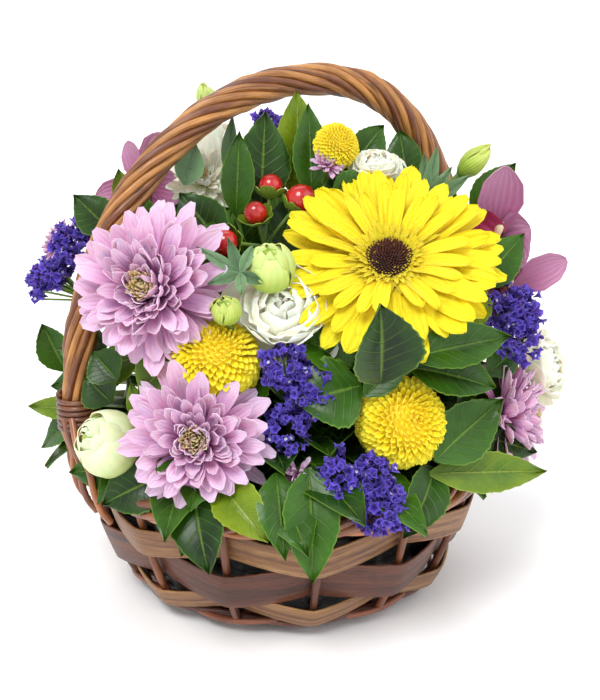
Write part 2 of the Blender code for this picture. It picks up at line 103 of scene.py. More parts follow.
class Net:
    """The node tree of one material, built by its methods and closed by finish."""

    def __init__(self, name: str) -> None:
        """Makes the material with its Principled shader."""
        self.material = bpy.data.materials.new(name)
        self.material.use_nodes = True
        self.tree = self.material.node_tree
        self.shader = self.tree.nodes["Principled BSDF"]

    def add(self, kind: str, settings: dict, inputs: dict, output: "int | str" = 0) -> Wire:
        """Adds a node.

        Args:
            kind: the node's type.
            settings: its properties, set first; "stops" fills a colour ramp.
            inputs: a value or a Wire for each socket, by name or place.
            output: the output that the returned Wire holds.

        Returns:
            The output as a Wire.
        """
        node = self.tree.nodes.new(kind)
        for key, value in settings.items():
            if key == "stops":
                self.fill_ramp(node.color_ramp, value)
            else:
                setattr(node, key, value)
        for key, value in inputs.items():
            self.feed(node.inputs[key], value)
        return Wire(self, node.outputs[output])

    def fill_ramp(self, ramp: bpy.types.ColorRamp, stops: Sequence[tuple[float, tuple]]) -> None:
        """Puts the stops, each a place and a colour, in a ramp."""
        while len(ramp.elements) < len(stops):
            ramp.elements.new(0.5)
        for element, (place, colour) in zip(ramp.elements, stops):
            element.position = place
            element.color = colour

    def feed(self, socket: bpy.types.NodeSocket, value: Value) -> None:
        """Links a Wire to a socket, or sets the socket's own value."""
        if isinstance(value, Wire):
            self.tree.links.new(value.socket, socket)
        else:
            socket.default_value = value

    def attribute(self, name: str) -> Wire:
        """A value that the mesh carries at its points."""
        return self.add("ShaderNodeAttribute", {"attribute_name": name}, {}, "Fac")

    def place(self) -> Wire:
        """Object coordinates."""
        return self.add("ShaderNodeTexCoord", {}, {}, "Object")

    def noise(self, scale: float, detail: float = 2.0, stretch: tuple = (1.0, 1.0, 1.0)) -> Wire:
        """Noise on object coordinates, with a stretch along each axis."""
        at = self.add("ShaderNodeVectorMath", {"operation": "MULTIPLY"}, {0: self.place(), 1: stretch})
        return self.add("ShaderNodeTexNoise", {}, {"Vector": at, "Scale": scale, "Detail": detail})

    def grain(self, along: Wire, around: Wire, lengthwise: float, crosswise: float,
              detail: float = 3.0) -> Wire:
        """Noise drawn out along a rod or a band, from the two values that the mesh carries."""
        at = self.add("ShaderNodeCombineXYZ", {}, {0: along * lengthwise, 1: around * crosswise, 2: 0.0})
        return self.add("ShaderNodeTexNoise", {}, {"Vector": at, "Scale": 1.0, "Detail": detail})

    def blend(self, factor: "Wire | float", first: Value, second: Value) -> Wire:
        """Mixes two colours."""
        settings = {"data_type": "RGBA", "blend_type": "MIX"}
        return self.add("ShaderNodeMix", settings, {0: factor, 6: first, 7: second}, 2)

    def ramp(self, value: Wire, stops: Sequence[tuple[float, tuple]]) -> Wire:
        """Colour from a value, through stops."""
        return self.add("ShaderNodeValToRGB", {"stops": stops}, {0: value})

    def range(self, value: Wire, low: float, high: float, to_low: float = 0.0,
              to_high: float = 1.0) -> Wire:
        """Maps a range of a value to another range, and keeps it inside."""
        return self.add("ShaderNodeMapRange", {}, {0: value, 1: low, 2: high, 3: to_low, 4: to_high})

    def bump(self, height: Wire, distance: float, strength: float = 1.0) -> Wire:
        """A normal from a height."""
        return self.add("ShaderNodeBump", {}, {"Height": height, "Distance": distance,
                                               "Strength": strength})

    def finish(self, base: Value, roughness: Value, normal: "Wire | None" = None,
               **constants: float) -> bpy.types.Material:
        """Closes the material.

        Args:
            base: base colour.
            roughness: roughness.
            normal: a bump, if there is one.
            constants: other inputs of the shader by name, with _ for a space.

        Returns:
            The material.
        """
        self.feed(self.shader.inputs["Base Color"], base)
        self.feed(self.shader.inputs["Roughness"], roughness)
        if normal is not None:
            self.feed(self.shader.inputs["Normal"], normal)
        for name, value in constants.items():
            self.shader.inputs[name.replace("_", " ")].default_value = value
        return self.material


@dataclass(frozen=True)
class PetalFinish:
    """Colours of a petal from its claw to its tip, and how it scatters light."""

    name: str
    claw: tuple
    middle: tuple
    tip: tuple
    shade: float = 0.25  # how much darker the lowest-toned petals are: random tone, and painted shade where a bloom gives its inner petals low tones
    veins: float = 9.0
    vein_depth: float = 0.00012
    vein_dark: float = 0.10
    roughness: float = 0.55
    through: float = 0.22
    painted_glow: float = 0.0  # painted light: the petal emits its own colour, standing in for light let through from petal to petal

    @cache
    def material(self) -> bpy.types.Material:
        """Petal colour along its length, with lengthwise veins, a tone from petal to petal that is painted
        shade where a bloom lowers its inner petals' tones, and a painted glow.
        """
        net = Net(self.name)
        along, across, tone = net.attribute("along"), net.attribute("across"), net.attribute("tone")
        patch = net.noise(160.0, 3.0)
        place = along + (patch - 0.5) * 0.22
        colour = net.ramp(place, [(0.02, self.claw), (0.42, self.middle), (0.97, self.tip)])
        vein = ((across + (patch - 0.5) * 0.08) * (self.veins * math.pi)).sine()
        # Darker along the veins, and darker by tone: random from petal to petal, and painted shade on inner
        # petals given low tones.
        dark = net.range(vein, -1.0, 0.2, 1.0, 0.0) * self.vein_dark + net.range(tone, 0.0, 1.0, self.shade,
            0.0)
        deep = tuple(c * 0.55 for c in self.middle[:3]) + (1.0,)
        colour = net.blend(dark, colour, deep)
        height = vein * 0.5 + net.noise(900.0, 2.0) * 0.6
        # Painted light: the petal emits its own colour as a glow, in place of light let through the petals.
        net.feed(net.shader.inputs["Emission Color"], colour)
        return net.finish(
            colour,
            net.range(patch, 0.3, 0.7, self.roughness - 0.06, self.roughness + 0.08),
            net.bump(height, self.vein_depth),
            Subsurface_Weight=self.through,
            Subsurface_Scale=0.004,
            Specular_IOR_Level=0.30,
            Sheen_Weight=0.12,
            Sheen_Roughness=0.5,
            Emission_Strength=self.painted_glow,
        )


@dataclass(frozen=True)
class LeafFinish:
    """Colours of a glossy leaf, of its ribs and of its underside."""

    name: str
    dark: tuple
    light: tuple
    rib: tuple
    under: tuple
    roughness: float = 0.30
    side_veins: float = 8.0

    @cache
    def material(self) -> bpy.types.Material:
        """Green from leaf to leaf, a pale midrib and margin, side veins, and a paler matt underside."""
        net = Net(self.name)
        along, across = net.attribute("along"), net.attribute("across")
        tone, side = net.attribute("tone"), net.attribute("side")
        patch = net.noise(55.0, 4.0)
        colour = net.blend(net.range(tone * 0.7 + (patch - 0.5) * 1.1 + across.size() * 0.25, -0.05, 0.95),
                           self.dark, self.light)
        out = across.size()
        sweep = ((along - out * 0.22 + (patch - 0.5) * 0.04) * (self.side_veins * 2 * math.pi)).sine()
        vein = net.range(sweep, 0.80, 1.0) * net.range(out, 0.02, 0.85, 1.0, 0.25)
        midrib = net.range(out, 0.02, 0.075, 1.0, 0.0)
        margin = net.range(out, 0.93, 0.99)
        colour = net.blend(vein * 0.16, colour, self.rib)
        colour = net.blend(midrib * 0.42 + margin * 0.50, colour, self.rib)
        under = net.blend(vein * 0.4 + midrib * 0.6, self.under, self.rib)
        top = side.above(-0.1)
        colour = net.blend(top, under, colour)
        mottle = net.noise(420.0, 3.0)
        colour = net.blend(net.range(mottle, 0.35, 0.75, 0.0, 0.22), colour, self.dark)
        rough = net.range(top + (mottle - 0.5) * 0.35, 0.0, 1.0, 0.62, self.roughness)
        height = vein * -0.8 - midrib * 1.2 + mottle * 0.35
        return net.finish(
            colour,
            rough,
            net.bump(height, 0.00045),
            Subsurface_Weight=0.08,
            Subsurface_Scale=0.002,
            Specular_IOR_Level=0.26,
            Coat_Weight=0.12,
            Coat_Roughness=0.24,
        )


@dataclass(frozen=True)
class WillowFinish:
    """Varnished willow: colours of the rod, of its grooves and of its knots."""

    name: str
    light: tuple
    dark: tuple
    knot: tuple
    roughness: float = 0.32
    coat: float = 0.45
    knots: float = 1.0

    @cache
    def material(self) -> bpy.types.Material:
        """Long grain, patches of bark, dark knots and a thin coat of varnish."""
        net = Net(self.name)
        along, around, tone = net.attribute("along"), net.attribute("around"), net.attribute("tone")
        shift = tone * 7.0
        streak = net.grain(along + shift, around, 26.0, 9.0, 5.0)
        patch = net.grain(along + shift, around, 60.0, 1.2, 3.0)
        colour = net.blend(net.range(streak + (patch - 0.5) * 0.9 + (tone - 0.5) * 0.55, 0.25, 0.78),
                           self.dark, self.light)
        spot = net.grain(along + shift, around, 34.0, 1.6, 1.0)
        knot = net.range(spot, 0.70, 0.76) * self.knots
        fibre = net.grain(along + shift, around, 90.0, 26.0, 4.0)
        colour = net.blend(net.range(fibre, 0.52, 0.70, 0.0, 0.55), colour, self.knot)
        colour = net.blend(knot, colour, self.knot)
        height = fibre * 0.7 + streak * 0.5 - knot * 0.8
        return net.finish(
            colour,
            net.range(streak, 0.3, 0.7, self.roughness, self.roughness + 0.22),
            net.bump(height, 0.0006, 0.8),
            Coat_Weight=self.coat,
            Coat_Roughness=0.18,
            Specular_IOR_Level=0.5,
        )


@dataclass(frozen=True)
class ChipFinish:
    """Flat sawn chip: colour, dark grain and pale grain."""

    name: str
    body: tuple
    dark: tuple
    pale: tuple
    roughness: float = 0.48

    @cache
    def material(self) -> bpy.types.Material:
        """Fine grain along the chip, dark pores, rubbed pale edges and a thin varnish."""
        net = Net(self.name)
        along, around, tone = net.attribute("along"), net.attribute("around"), net.attribute("tone")
        broad = net.grain(along + tone * 5.0, around, 9.0, 5.0, 4.0)
        fine = net.grain(along + tone * 5.0, around, 55.0, 46.0, 4.0)
        pore = net.grain(along + tone * 5.0, around, 150.0, 70.0, 2.0)
        colour = net.ramp(broad + (fine - 0.5) * 0.8,
                          [(0.28, self.dark), (0.50, self.body), (0.78, self.pale)])
        colour = net.blend(net.range(pore, 0.58, 0.70, 0.0, 0.55), colour, self.dark)
        edge = net.range((around - 0.5).size(), 0.42, 0.5)
        colour = net.blend(edge * net.range(fine, 0.35, 0.6, 0.1, 0.6), colour, self.pale)
        height = fine * 0.8 - net.range(pore, 0.55, 0.7) * 0.6 + broad * 0.6
        return net.finish(
            colour,
            net.range(fine, 0.3, 0.7, self.roughness - 0.1, self.roughness + 0.15),
            net.bump(height, 0.0005, 0.7),
            Coat_Weight=0.22,
            Coat_Roughness=0.25,
        )


class Petal(Enum):
    """The petal finishes of the arrangement."""

    GERBERA = PetalFinish("petal_gerbera", paint(222, 170, 6), paint(248, 216, 8), paint(253, 230, 16),
                          0.18, 3.0, 0.00045, 0.18)
    GERBERA_TUFT = PetalFinish("petal_gerbera_tuft", paint(214, 165, 8), paint(244, 212, 14),
                               paint(252, 228, 40), 0.12)
    MAROON = PetalFinish("floret_maroon", paint(30, 8, 8), paint(62, 20, 18), paint(105, 50, 25), 0.5, 2.0,
                         0.00005, 0.2, 0.7, 0.0)
    BUTTON = PetalFinish("petal_button", paint(236, 200, 6), paint(250, 222, 14), paint(254, 236, 60), 0.12,
                         3.0, 0.0001, 0.06)
    PINK = PetalFinish("petal_pink", paint(172, 92, 146), paint(216, 150, 200), paint(242, 208, 232), 0.34,
                       4.0, 0.00022, 0.12)
    CREAM_EYE = PetalFinish("floret_cream", paint(160, 100, 70), paint(226, 186, 130), paint(248, 232, 176),
                            0.30, 3.0)
    WHITE = PetalFinish("petal_white", paint(204, 208, 140), paint(232, 228, 206), paint(241, 239, 224),
                        0.14, 7.0, 0.00012, 0.05, 0.6, 0.30, 0.05)
    CREAM = PetalFinish("petal_cream", paint(150, 178, 62), paint(208, 218, 138), paint(236, 238, 196),
                        0.20, 7.0, 0.00012, 0.06, 0.55, 0.3, 0.02)
    BUD = PetalFinish("petal_bud", paint(128, 164, 40), paint(176, 200, 78), paint(222, 230, 146), 0.24,
                      7.0, 0.00012, 0.08, 0.5, 0.25)
    LIME = PetalFinish("petal_lime", paint(120, 160, 40), paint(170, 196, 70), paint(214, 220, 120), 0.30,
                       9.0, 0.0002, 0.2, 0.48, 0.2)
    SEPAL = PetalFinish("sepal_green", paint(70, 110, 45), paint(96, 138, 62), paint(130, 165, 84), 0.35,
                        5.0, 0.0002, 0.2, 0.5, 0.1)
    ORCHID = PetalFinish("tepal_orchid", paint(132, 58, 92), paint(164, 98, 138), paint(188, 136, 168),
                         0.25, 7.0, 0.0002, 0.16, 0.36, 0.12)
    ORCHID_LIP = PetalFinish("lip_orchid", paint(190, 110, 120), paint(160, 36, 84), paint(132, 14, 62),
                             0.2, 5.0, 0.0003, 0.3, 0.4, 0.15)
    COLUMN = PetalFinish("column_orchid", paint(200, 130, 150), paint(228, 196, 150), paint(244, 226, 190),
                         0.1, 3.0, 0.0001, 0.1, 0.35, 0.2)
    STATICE = PetalFinish("calyx_statice", paint(34, 16, 104), paint(64, 38, 168), paint(112, 92, 218), 0.5,
                          5.0, 0.0002, 0.2, 0.7, 0.1)
    STATICE_EYE = PetalFinish("floret_statice", paint(190, 180, 220), paint(226, 220, 244),
                              paint(250, 248, 255), 0.2, 3.0)


class Leafage(Enum):
    """The leaf finishes of the arrangement."""

    DARK = LeafFinish("leaf_dark", paint(7, 34, 4), paint(54, 100, 12), paint(124, 164, 56),
                      paint(70, 110, 26), 0.34)
    LIGHT = LeafFinish("leaf_light", paint(46, 88, 12), paint(128, 150, 26), paint(172, 190, 76),
                       paint(110, 140, 40), 0.30)
    GREY = LeafFinish("leaf_grey_green", paint(58, 92, 60), paint(108, 142, 98), paint(150, 176, 130),
                      paint(130, 158, 118), 0.5, 3.0)


class Willow(Enum):
    """The rods' finishes."""

    HANDLE = WillowFinish("willow_handle", paint(202, 140, 70), paint(108, 54, 22), paint(40, 17, 8))
    RIM = WillowFinish("willow_rim", paint(186, 112, 60), paint(104, 54, 28), paint(46, 22, 12), 0.28, 0.6)
    BASE = WillowFinish("willow_base", paint(150, 84, 52), paint(84, 40, 24), paint(40, 18, 10), 0.36, 0.4)
    STAKE = WillowFinish("willow_stake", paint(136, 78, 44), paint(84, 44, 24), paint(44, 20, 12), 0.4,
                         0.35)


class Chip(Enum):
    """The chip bands' finishes."""

    TAN = ChipFinish("chip_tan", paint(134, 90, 52), paint(80, 46, 24), paint(172, 130, 82))
    DARK = ChipFinish("chip_dark", paint(84, 40, 24), paint(46, 22, 13), paint(116, 66, 40), 0.50)


@cache
def stem_material() -> bpy.types.Material:
    """Fresh green stem with faint ridges."""
    net = Net("stem_green")
    patch = net.noise(70.0, 3.0)
    colour = net.blend(net.range(patch, 0.3, 0.7), paint(74, 108, 40), paint(120, 152, 66))
    return net.finish(colour, 0.5, net.bump(net.noise(600.0, 2.0), 0.0002), Subsurface_Weight=0.08,
                      Subsurface_Scale=0.002)


def berry_material() -> bpy.types.Material:
    """Glossy red skin, darker towards the tip."""
    net = Net("berry_skin")
    along = net.attribute("along")
    patch = net.noise(240.0, 2.0)
    colour = net.ramp(along + (patch - 0.5) * 0.35,
                      [(0.0, paint(120, 10, 12)), (0.45, paint(196, 28, 26)), (0.93, paint(150, 14, 18))])
    rough = net.range(patch, 0.3, 0.7, 0.14, 0.26)
    return net.finish(colour, rough, net.bump(patch, 0.0001), Coat_Weight=0.5, Coat_Roughness=0.08,
                      Subsurface_Weight=0.1,
                      Subsurface_Scale=0.002)


def foam_material() -> bpy.types.Material:
    """Wet green foam with fine open pores."""
    net = Net("foam_wet")
    pores = net.add("ShaderNodeTexVoronoi", {}, {"Vector": net.place(), "Scale": 700.0})
    patch = net.noise(40.0, 4.0)
    colour = net.blend(net.range(patch, 0.3, 0.7), paint(30, 66, 36), paint(58, 104, 60))
    return net.finish(colour, 0.9, net.bump(pores, 0.0006, 0.8))


def liner_material() -> bpy.types.Material:
    """Thin dark film with soft creases and a low gloss, with painted shade in the crease hollows and a
    painted highlight on the ridges.
    """
    net = Net("liner_film")
    crease = net.noise(46.0, 5.0, (1.0, 1.0, 2.6))
    # Painted shade and highlight: the colour follows the crease height, dark in the hollows and paler on the
    # ridges.
    colour = net.blend(net.range(crease, 0.35, 0.7), paint(20, 22, 22), paint(58, 60, 60))
    return net.finish(colour, net.range(crease, 0.3, 0.7, 0.22, 0.42), net.bump(crease, 0.003, 0.6))


def floor_material() -> bpy.types.Material:
    """Plain pale studio floor."""
    net = Net("studio_floor")
    colour = net.blend(net.noise(3.0, 2.0), paint(246, 246, 247), paint(250, 250, 250))
    return net.finish(colour, 0.85, Specular_IOR_Level=0.1)


# ---------------------------------------------------------------- meshes


@dataclass
class Stock:
    """A small mesh that is stamped many times: its points, its polygons and the values they carry."""

    along: Array
    across: Array
    side: Array
    corners: Array
    sizes: Array

    @classmethod
    def blade(cls, rows: int, cols: int) -> "Stock":
        """A flat strip with a thickness, modelled as a grid and thickened.

        Args:
            rows: spans along the blade.
            cols: spans across it.

        Returns:
            The stock, with along from 0 to 1, across from -1 to 1, and side +-0.5.
        """
        bpy.ops.mesh.primitive_grid_add(x_subdivisions=cols, y_subdivisions=rows, size=2.0)
        grid = bpy.context.object
        wall = grid.modifiers.new("thickness", "SOLIDIFY")
        wall.thickness = 1.0
        wall.offset = 0.0
        bpy.ops.object.modifier_apply(modifier=wall.name)
        points = np.empty(len(grid.data.vertices) * 3)
        grid.data.vertices.foreach_get("co", points)
        points = points.reshape(-1, 3)
        corners = np.empty(len(grid.data.loops), dtype=np.int32)
        grid.data.loops.foreach_get("vertex_index", corners)
        sizes = np.empty(len(grid.data.polygons), dtype=np.int32)
        grid.data.polygons.foreach_get("loop_total", sizes)
        discard(grid)
        along = np.round((points[:, 1] + 1) / 2, 5)
        return cls(along, points[:, 0], points[:, 2], corners, sizes)

    @classmethod
    def turned(cls, profile: Sequence[tuple[float, float]], sides: int) -> "Stock":
        """A turned shape: along holds the radius, side the height and across the angle, closed at both poles.

        Args:
            profile: radius and height of each ring, from the bottom pole to the top pole.
            sides: points of a ring.

        Returns:
            The stock.
        """
        angle = np.tile(np.arange(sides) / sides * 2 * math.pi, len(profile))
        radius = np.repeat([r for r, _ in profile], sides)
        height = np.repeat([h for _, h in profile], sides)
        faces = []
        for i in range(len(profile) - 1):
            for k in range(sides):
                a, b = i * sides + k, i * sides + (k + 1) % sides
                faces.append((a, b, b + sides, a + sides))
        corners = [c for face in faces for c in face]
        corners += list(range(sides - 1, -1, -1))
        corners += list(range((len(profile) - 1) * sides, len(profile) * sides))
        sizes = [4] * len(faces) + [sides, sides]
        return cls(radius, angle, height, np.array(corners, np.int32), np.array(sizes, np.int32))


def round_points(radius: Array, angle: Array, height: Array) -> Array:
    """Points from a radius, an angle and a height."""
    return np.stack([radius * np.cos(angle), radius * np.sin(angle), height], axis=-1)


def discard(obj: bpy.types.Object) -> None:
    """Removes a helper object and its mesh."""
    mesh = obj.data
    bpy.data.objects.remove(obj, do_unlink=True)
    bpy.data.meshes.remove(mesh)


def build(name: str, points: Array, corners: Array, sizes: Array, values: dict[str, Array],
          material: bpy.types.Material, sharp: float = 52.0) -> bpy.types.Object:
    """Makes one object from arrays.

    Args:
        name: the piece's name.
        points: its points, one row each.
        corners: the point numbers of all polygons, one after another.
        sizes: the number of corners of each polygon.
        values: named values carried at the points.
        material: the finish.
        sharp: edges that turn more than this many degrees stay crisp.

    Returns:
        The object, at the origin.
    """
    mesh = bpy.data.meshes.new(name)
    mesh.vertices.add(len(points))
    mesh.vertices.foreach_set("co", np.ascontiguousarray(points, dtype=np.float32).ravel())
    mesh.loops.add(len(corners))
    mesh.loops.foreach_set("vertex_index", corners.astype(np.int32))
    mesh.polygons.add(len(sizes))
    mesh.polygons.foreach_set("loop_start", np.concatenate([[0], np.cumsum(sizes)[:-1]]).astype(np.int32))
    mesh.update(calc_edges=True)
    mesh.validate()
    for key, value in values.items():
        carried = mesh.attributes.new(key, "FLOAT", "POINT")
        carried.data.foreach_set("value", np.ascontiguousarray(value, dtype=np.float32).ravel())
    mesh.materials.append(material)
    mesh.shade_smooth()
    mesh.set_sharp_from_angle(angle=math.radians(sharp))
    obj = bpy.data.objects.new(name, mesh)
    bpy.context.collection.objects.link(obj)
    return obj


def stamp(name: str, stock: Stock, local: Array, origins: Array, frames: Array, tones: Array,
          material: bpy.types.Material, sharp: float = 52.0) -> bpy.types.Object:
    """Copies a stock to many places as one object.

    Args:
        name: the piece's name.
        stock: the small mesh.
        local: its points for each copy, copies by points by 3.
        origins: the place of each copy.
        frames: the three axes of each copy, as columns.
        tones: one value for each copy, 0 to 1.
        material: the finish.
        sharp: crisp edge angle in degrees.

    Returns:
        The object.
    """
    count, points = local.shape[:2]
    world = origins[:, None, :] + np.einsum("kij,knj->kni", frames, local)
    corners = (stock.corners[None, :] + points * np.arange(count)[:, None]).ravel()
    values = {
        "along": np.tile(stock.along, count),
        "across": np.tile(stock.across, count),
        "side": np.tile(stock.side, count),
        "tone": np.repeat(tones, points),
    }
    return build(name, world.reshape(-1, 3), corners, np.tile(stock.sizes, count), values, material, sharp)


def column(value: "float | Array", count: int) -> Array:
    """A value for each copy as a column."""
    return np.broadcast_to(np.asarray(value, dtype=float), (count,)).reshape(count, 1)


@dataclass
class Blades:
    """The shape of a set of petals or leaves, in degrees and metres, one value for all or one for each."""

    length: "float | Array"
    width: "float | Array"
    outline: Sequence[tuple[float, float]]
    start: "float | Array" = 0.0
    bend: "float | Array" = 0.0
    bend_power: float = 1.0
    cup: "float | Array" = 0.0
    fold: "float | Array" = 0.0
    thick: float = 0.00035
    ruffle: "float | Array" = 0.0
    ruffle_waves: float = 2.5
    teeth: float = 0.0
    tooth_count: float = 14.0
    twist: "float | Array" = 0.0
    seed: int = 1

    def points(self, stock: Stock, count: int) -> Array:
        """Points of every blade: +X from stalk to tip, +Y across, +Z out of its upper face."""
        rng = np.random.default_rng(self.seed)
        rows, row_of = np.unique(stock.along, return_inverse=True)
        start, bend = np.radians(column(self.start, count)), np.radians(column(self.bend, count))
        angle = start + bend * rows[None, :] ** self.bend_power
        step = np.diff(rows)[None, :] * column(self.length, count)
        mid = (angle[:, 1:] + angle[:, :-1]) / 2
        zero = np.zeros((count, 1))
        x = np.concatenate([zero, np.cumsum(np.cos(mid) * step, axis=1)], axis=1)[:, row_of]
        z = np.concatenate([zero, np.cumsum(np.sin(mid) * step, axis=1)], axis=1)[:, row_of]
        angle = angle[:, row_of]
        u, v, s = stock.along[None, :], stock.across[None, :], stock.side[None, :]
        places, widths = zip(*self.outline)
        half = column(self.width, count) / 2 * np.interp(u, places, widths)
        tooth = (self.tooth_count * u) % 1.0
        half = half * (1 + self.teeth * (tooth - 0.5) * np.abs(v) ** 6)
        phase = rng.uniform(0, 2 * math.pi, (count, 1))
        wave = np.sin(v * self.ruffle_waves * 2 + u * 5 + phase) * u**2 * np.abs(v) ** 1.5
        wave += 0.6 * np.sin(v * self.ruffle_waves * 4.3 + phase * 2) * u**5
        lift = column(self.cup, count) * half * v**2 + column(self.fold, count) * half * np.abs(v)
        lift = lift + column(self.ruffle, count) * wave + s * self.thick
        turn = np.radians(column(self.twist, count)) * u
        y = v * half * np.cos(turn) - lift * np.sin(turn)
        lift = v * half * np.sin(turn) + lift * np.cos(turn)
        return np.stack([x - np.sin(angle) * lift, y, z + np.cos(angle) * lift], axis=-1)


def direction(heading: float, pitch: float) -> Array:
    """Unit vector of a heading and a pitch in degrees."""
    h, p = math.radians(heading), math.radians(pitch)
    return np.array([math.cos(h) * math.cos(p), math.sin(h) * math.cos(p), math.sin(p)])


def unit(vector: Array) -> Array:
    """Vectors at length one."""
    return vector / np.linalg.norm(vector, axis=-1, keepdims=True)


def tube(points: Array, radius: "float | Array", sides: int, closed: bool = False,
         side: tuple = (0.0, 0.0, 1.0)) -> tuple[Array, Array, Array, Array, Array]:
    """A round rod along a path.

    Args:
        points: the path.
        radius: one radius, or one for each point.
        sides: sides of the rod.
        closed: whether the path runs back into itself.
        side: a direction that the rod's section is turned to.

    Returns:
        Points, corners, sizes, and the along and around values.
    """
    count = len(points)
    if closed:
        tangent = np.roll(points, -1, axis=0) - np.roll(points, 1, axis=0)
    else:
        tangent = np.gradient(points, axis=0)
    tangent = unit(tangent)
    over = np.broadcast_to(np.asarray(side, dtype=float), points.shape)
    over = unit(over - tangent * np.sum(over * tangent, axis=1, keepdims=True))
    across = np.cross(tangent, over)
    turn = np.arange(sides) / sides * 2 * math.pi
    r = np.broadcast_to(np.asarray(radius, dtype=float), (count,))[:, None, None]
    ring = across[:, None] * np.cos(turn)[None, :, None] + over[:, None] * np.sin(turn)[None, :, None]
    verts = (points[:, None] + ring * r).reshape(-1, 3)
    spans = count if closed else count - 1
    i, k = np.meshgrid(np.arange(spans), np.arange(sides), indexing="ij")
    j, n = (i + 1) % count, (k + 1) % sides
    quads = np.stack([i * sides + k, i * sides + n, j * sides + n, j * sides + k], axis=-1).reshape(-1)
    sizes = np.full(spans * sides, 4)
    if not closed:
        ends = np.concatenate([np.arange(sides)[::-1], np.arange(sides) + (count - 1) * sides])
        quads = np.concatenate([quads, ends])
        sizes = np.concatenate([sizes, [sides, sides]])
    run = np.concatenate([[0], np.cumsum(np.linalg.norm(np.diff(points, axis=0), axis=1))])
    around = np.minimum(np.arange(sides), sides - np.arange(sides)) / sides * 2
    return verts, quads, sizes, np.repeat(run, sides), np.tile(around, count)


def rods(name: str, paths: Sequence[Array], radius: "float | Sequence", sides: int,
         material: bpy.types.Material,
         closed: bool = False, side: tuple = (0.0, 0.0, 1.0),
         tones: "Sequence[float] | None" = None) -> bpy.types.Object:
    """Several rods as one object, each with its own tone."""
    parts, base = [], 0
    for i, path in enumerate(paths):
        thick = radius[i] if isinstance(radius, (list, tuple)) else radius
        verts, corners, sizes, along, around = tube(np.asarray(path), thick, sides, closed, side)
        tone = tones[i] if tones is not None else (i * 0.618) % 1.0
        parts.append((verts, corners + base, sizes, along, around, np.full(len(verts), tone)))
        base += len(verts)
    verts, corners, sizes, along, around, tone = (np.concatenate(p) for p in zip(*parts))
    values = {"along": along, "around": around, "tone": tone}
    return build(name, verts, corners, sizes, values, material, 60.0)


def show(piece: bpy.types.Object, slot: str, *nodes: str) -> bpy.types.Object:
    """Carries a piece with the basket, and hides the frame's nodes that it stands for."""
    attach(piece, "root")
    if nodes:
        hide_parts(*nodes)
    log.info("%s: %d points", piece.name, len(piece.data.vertices))
    return piece


# ---------------------------------------------------------------- basket


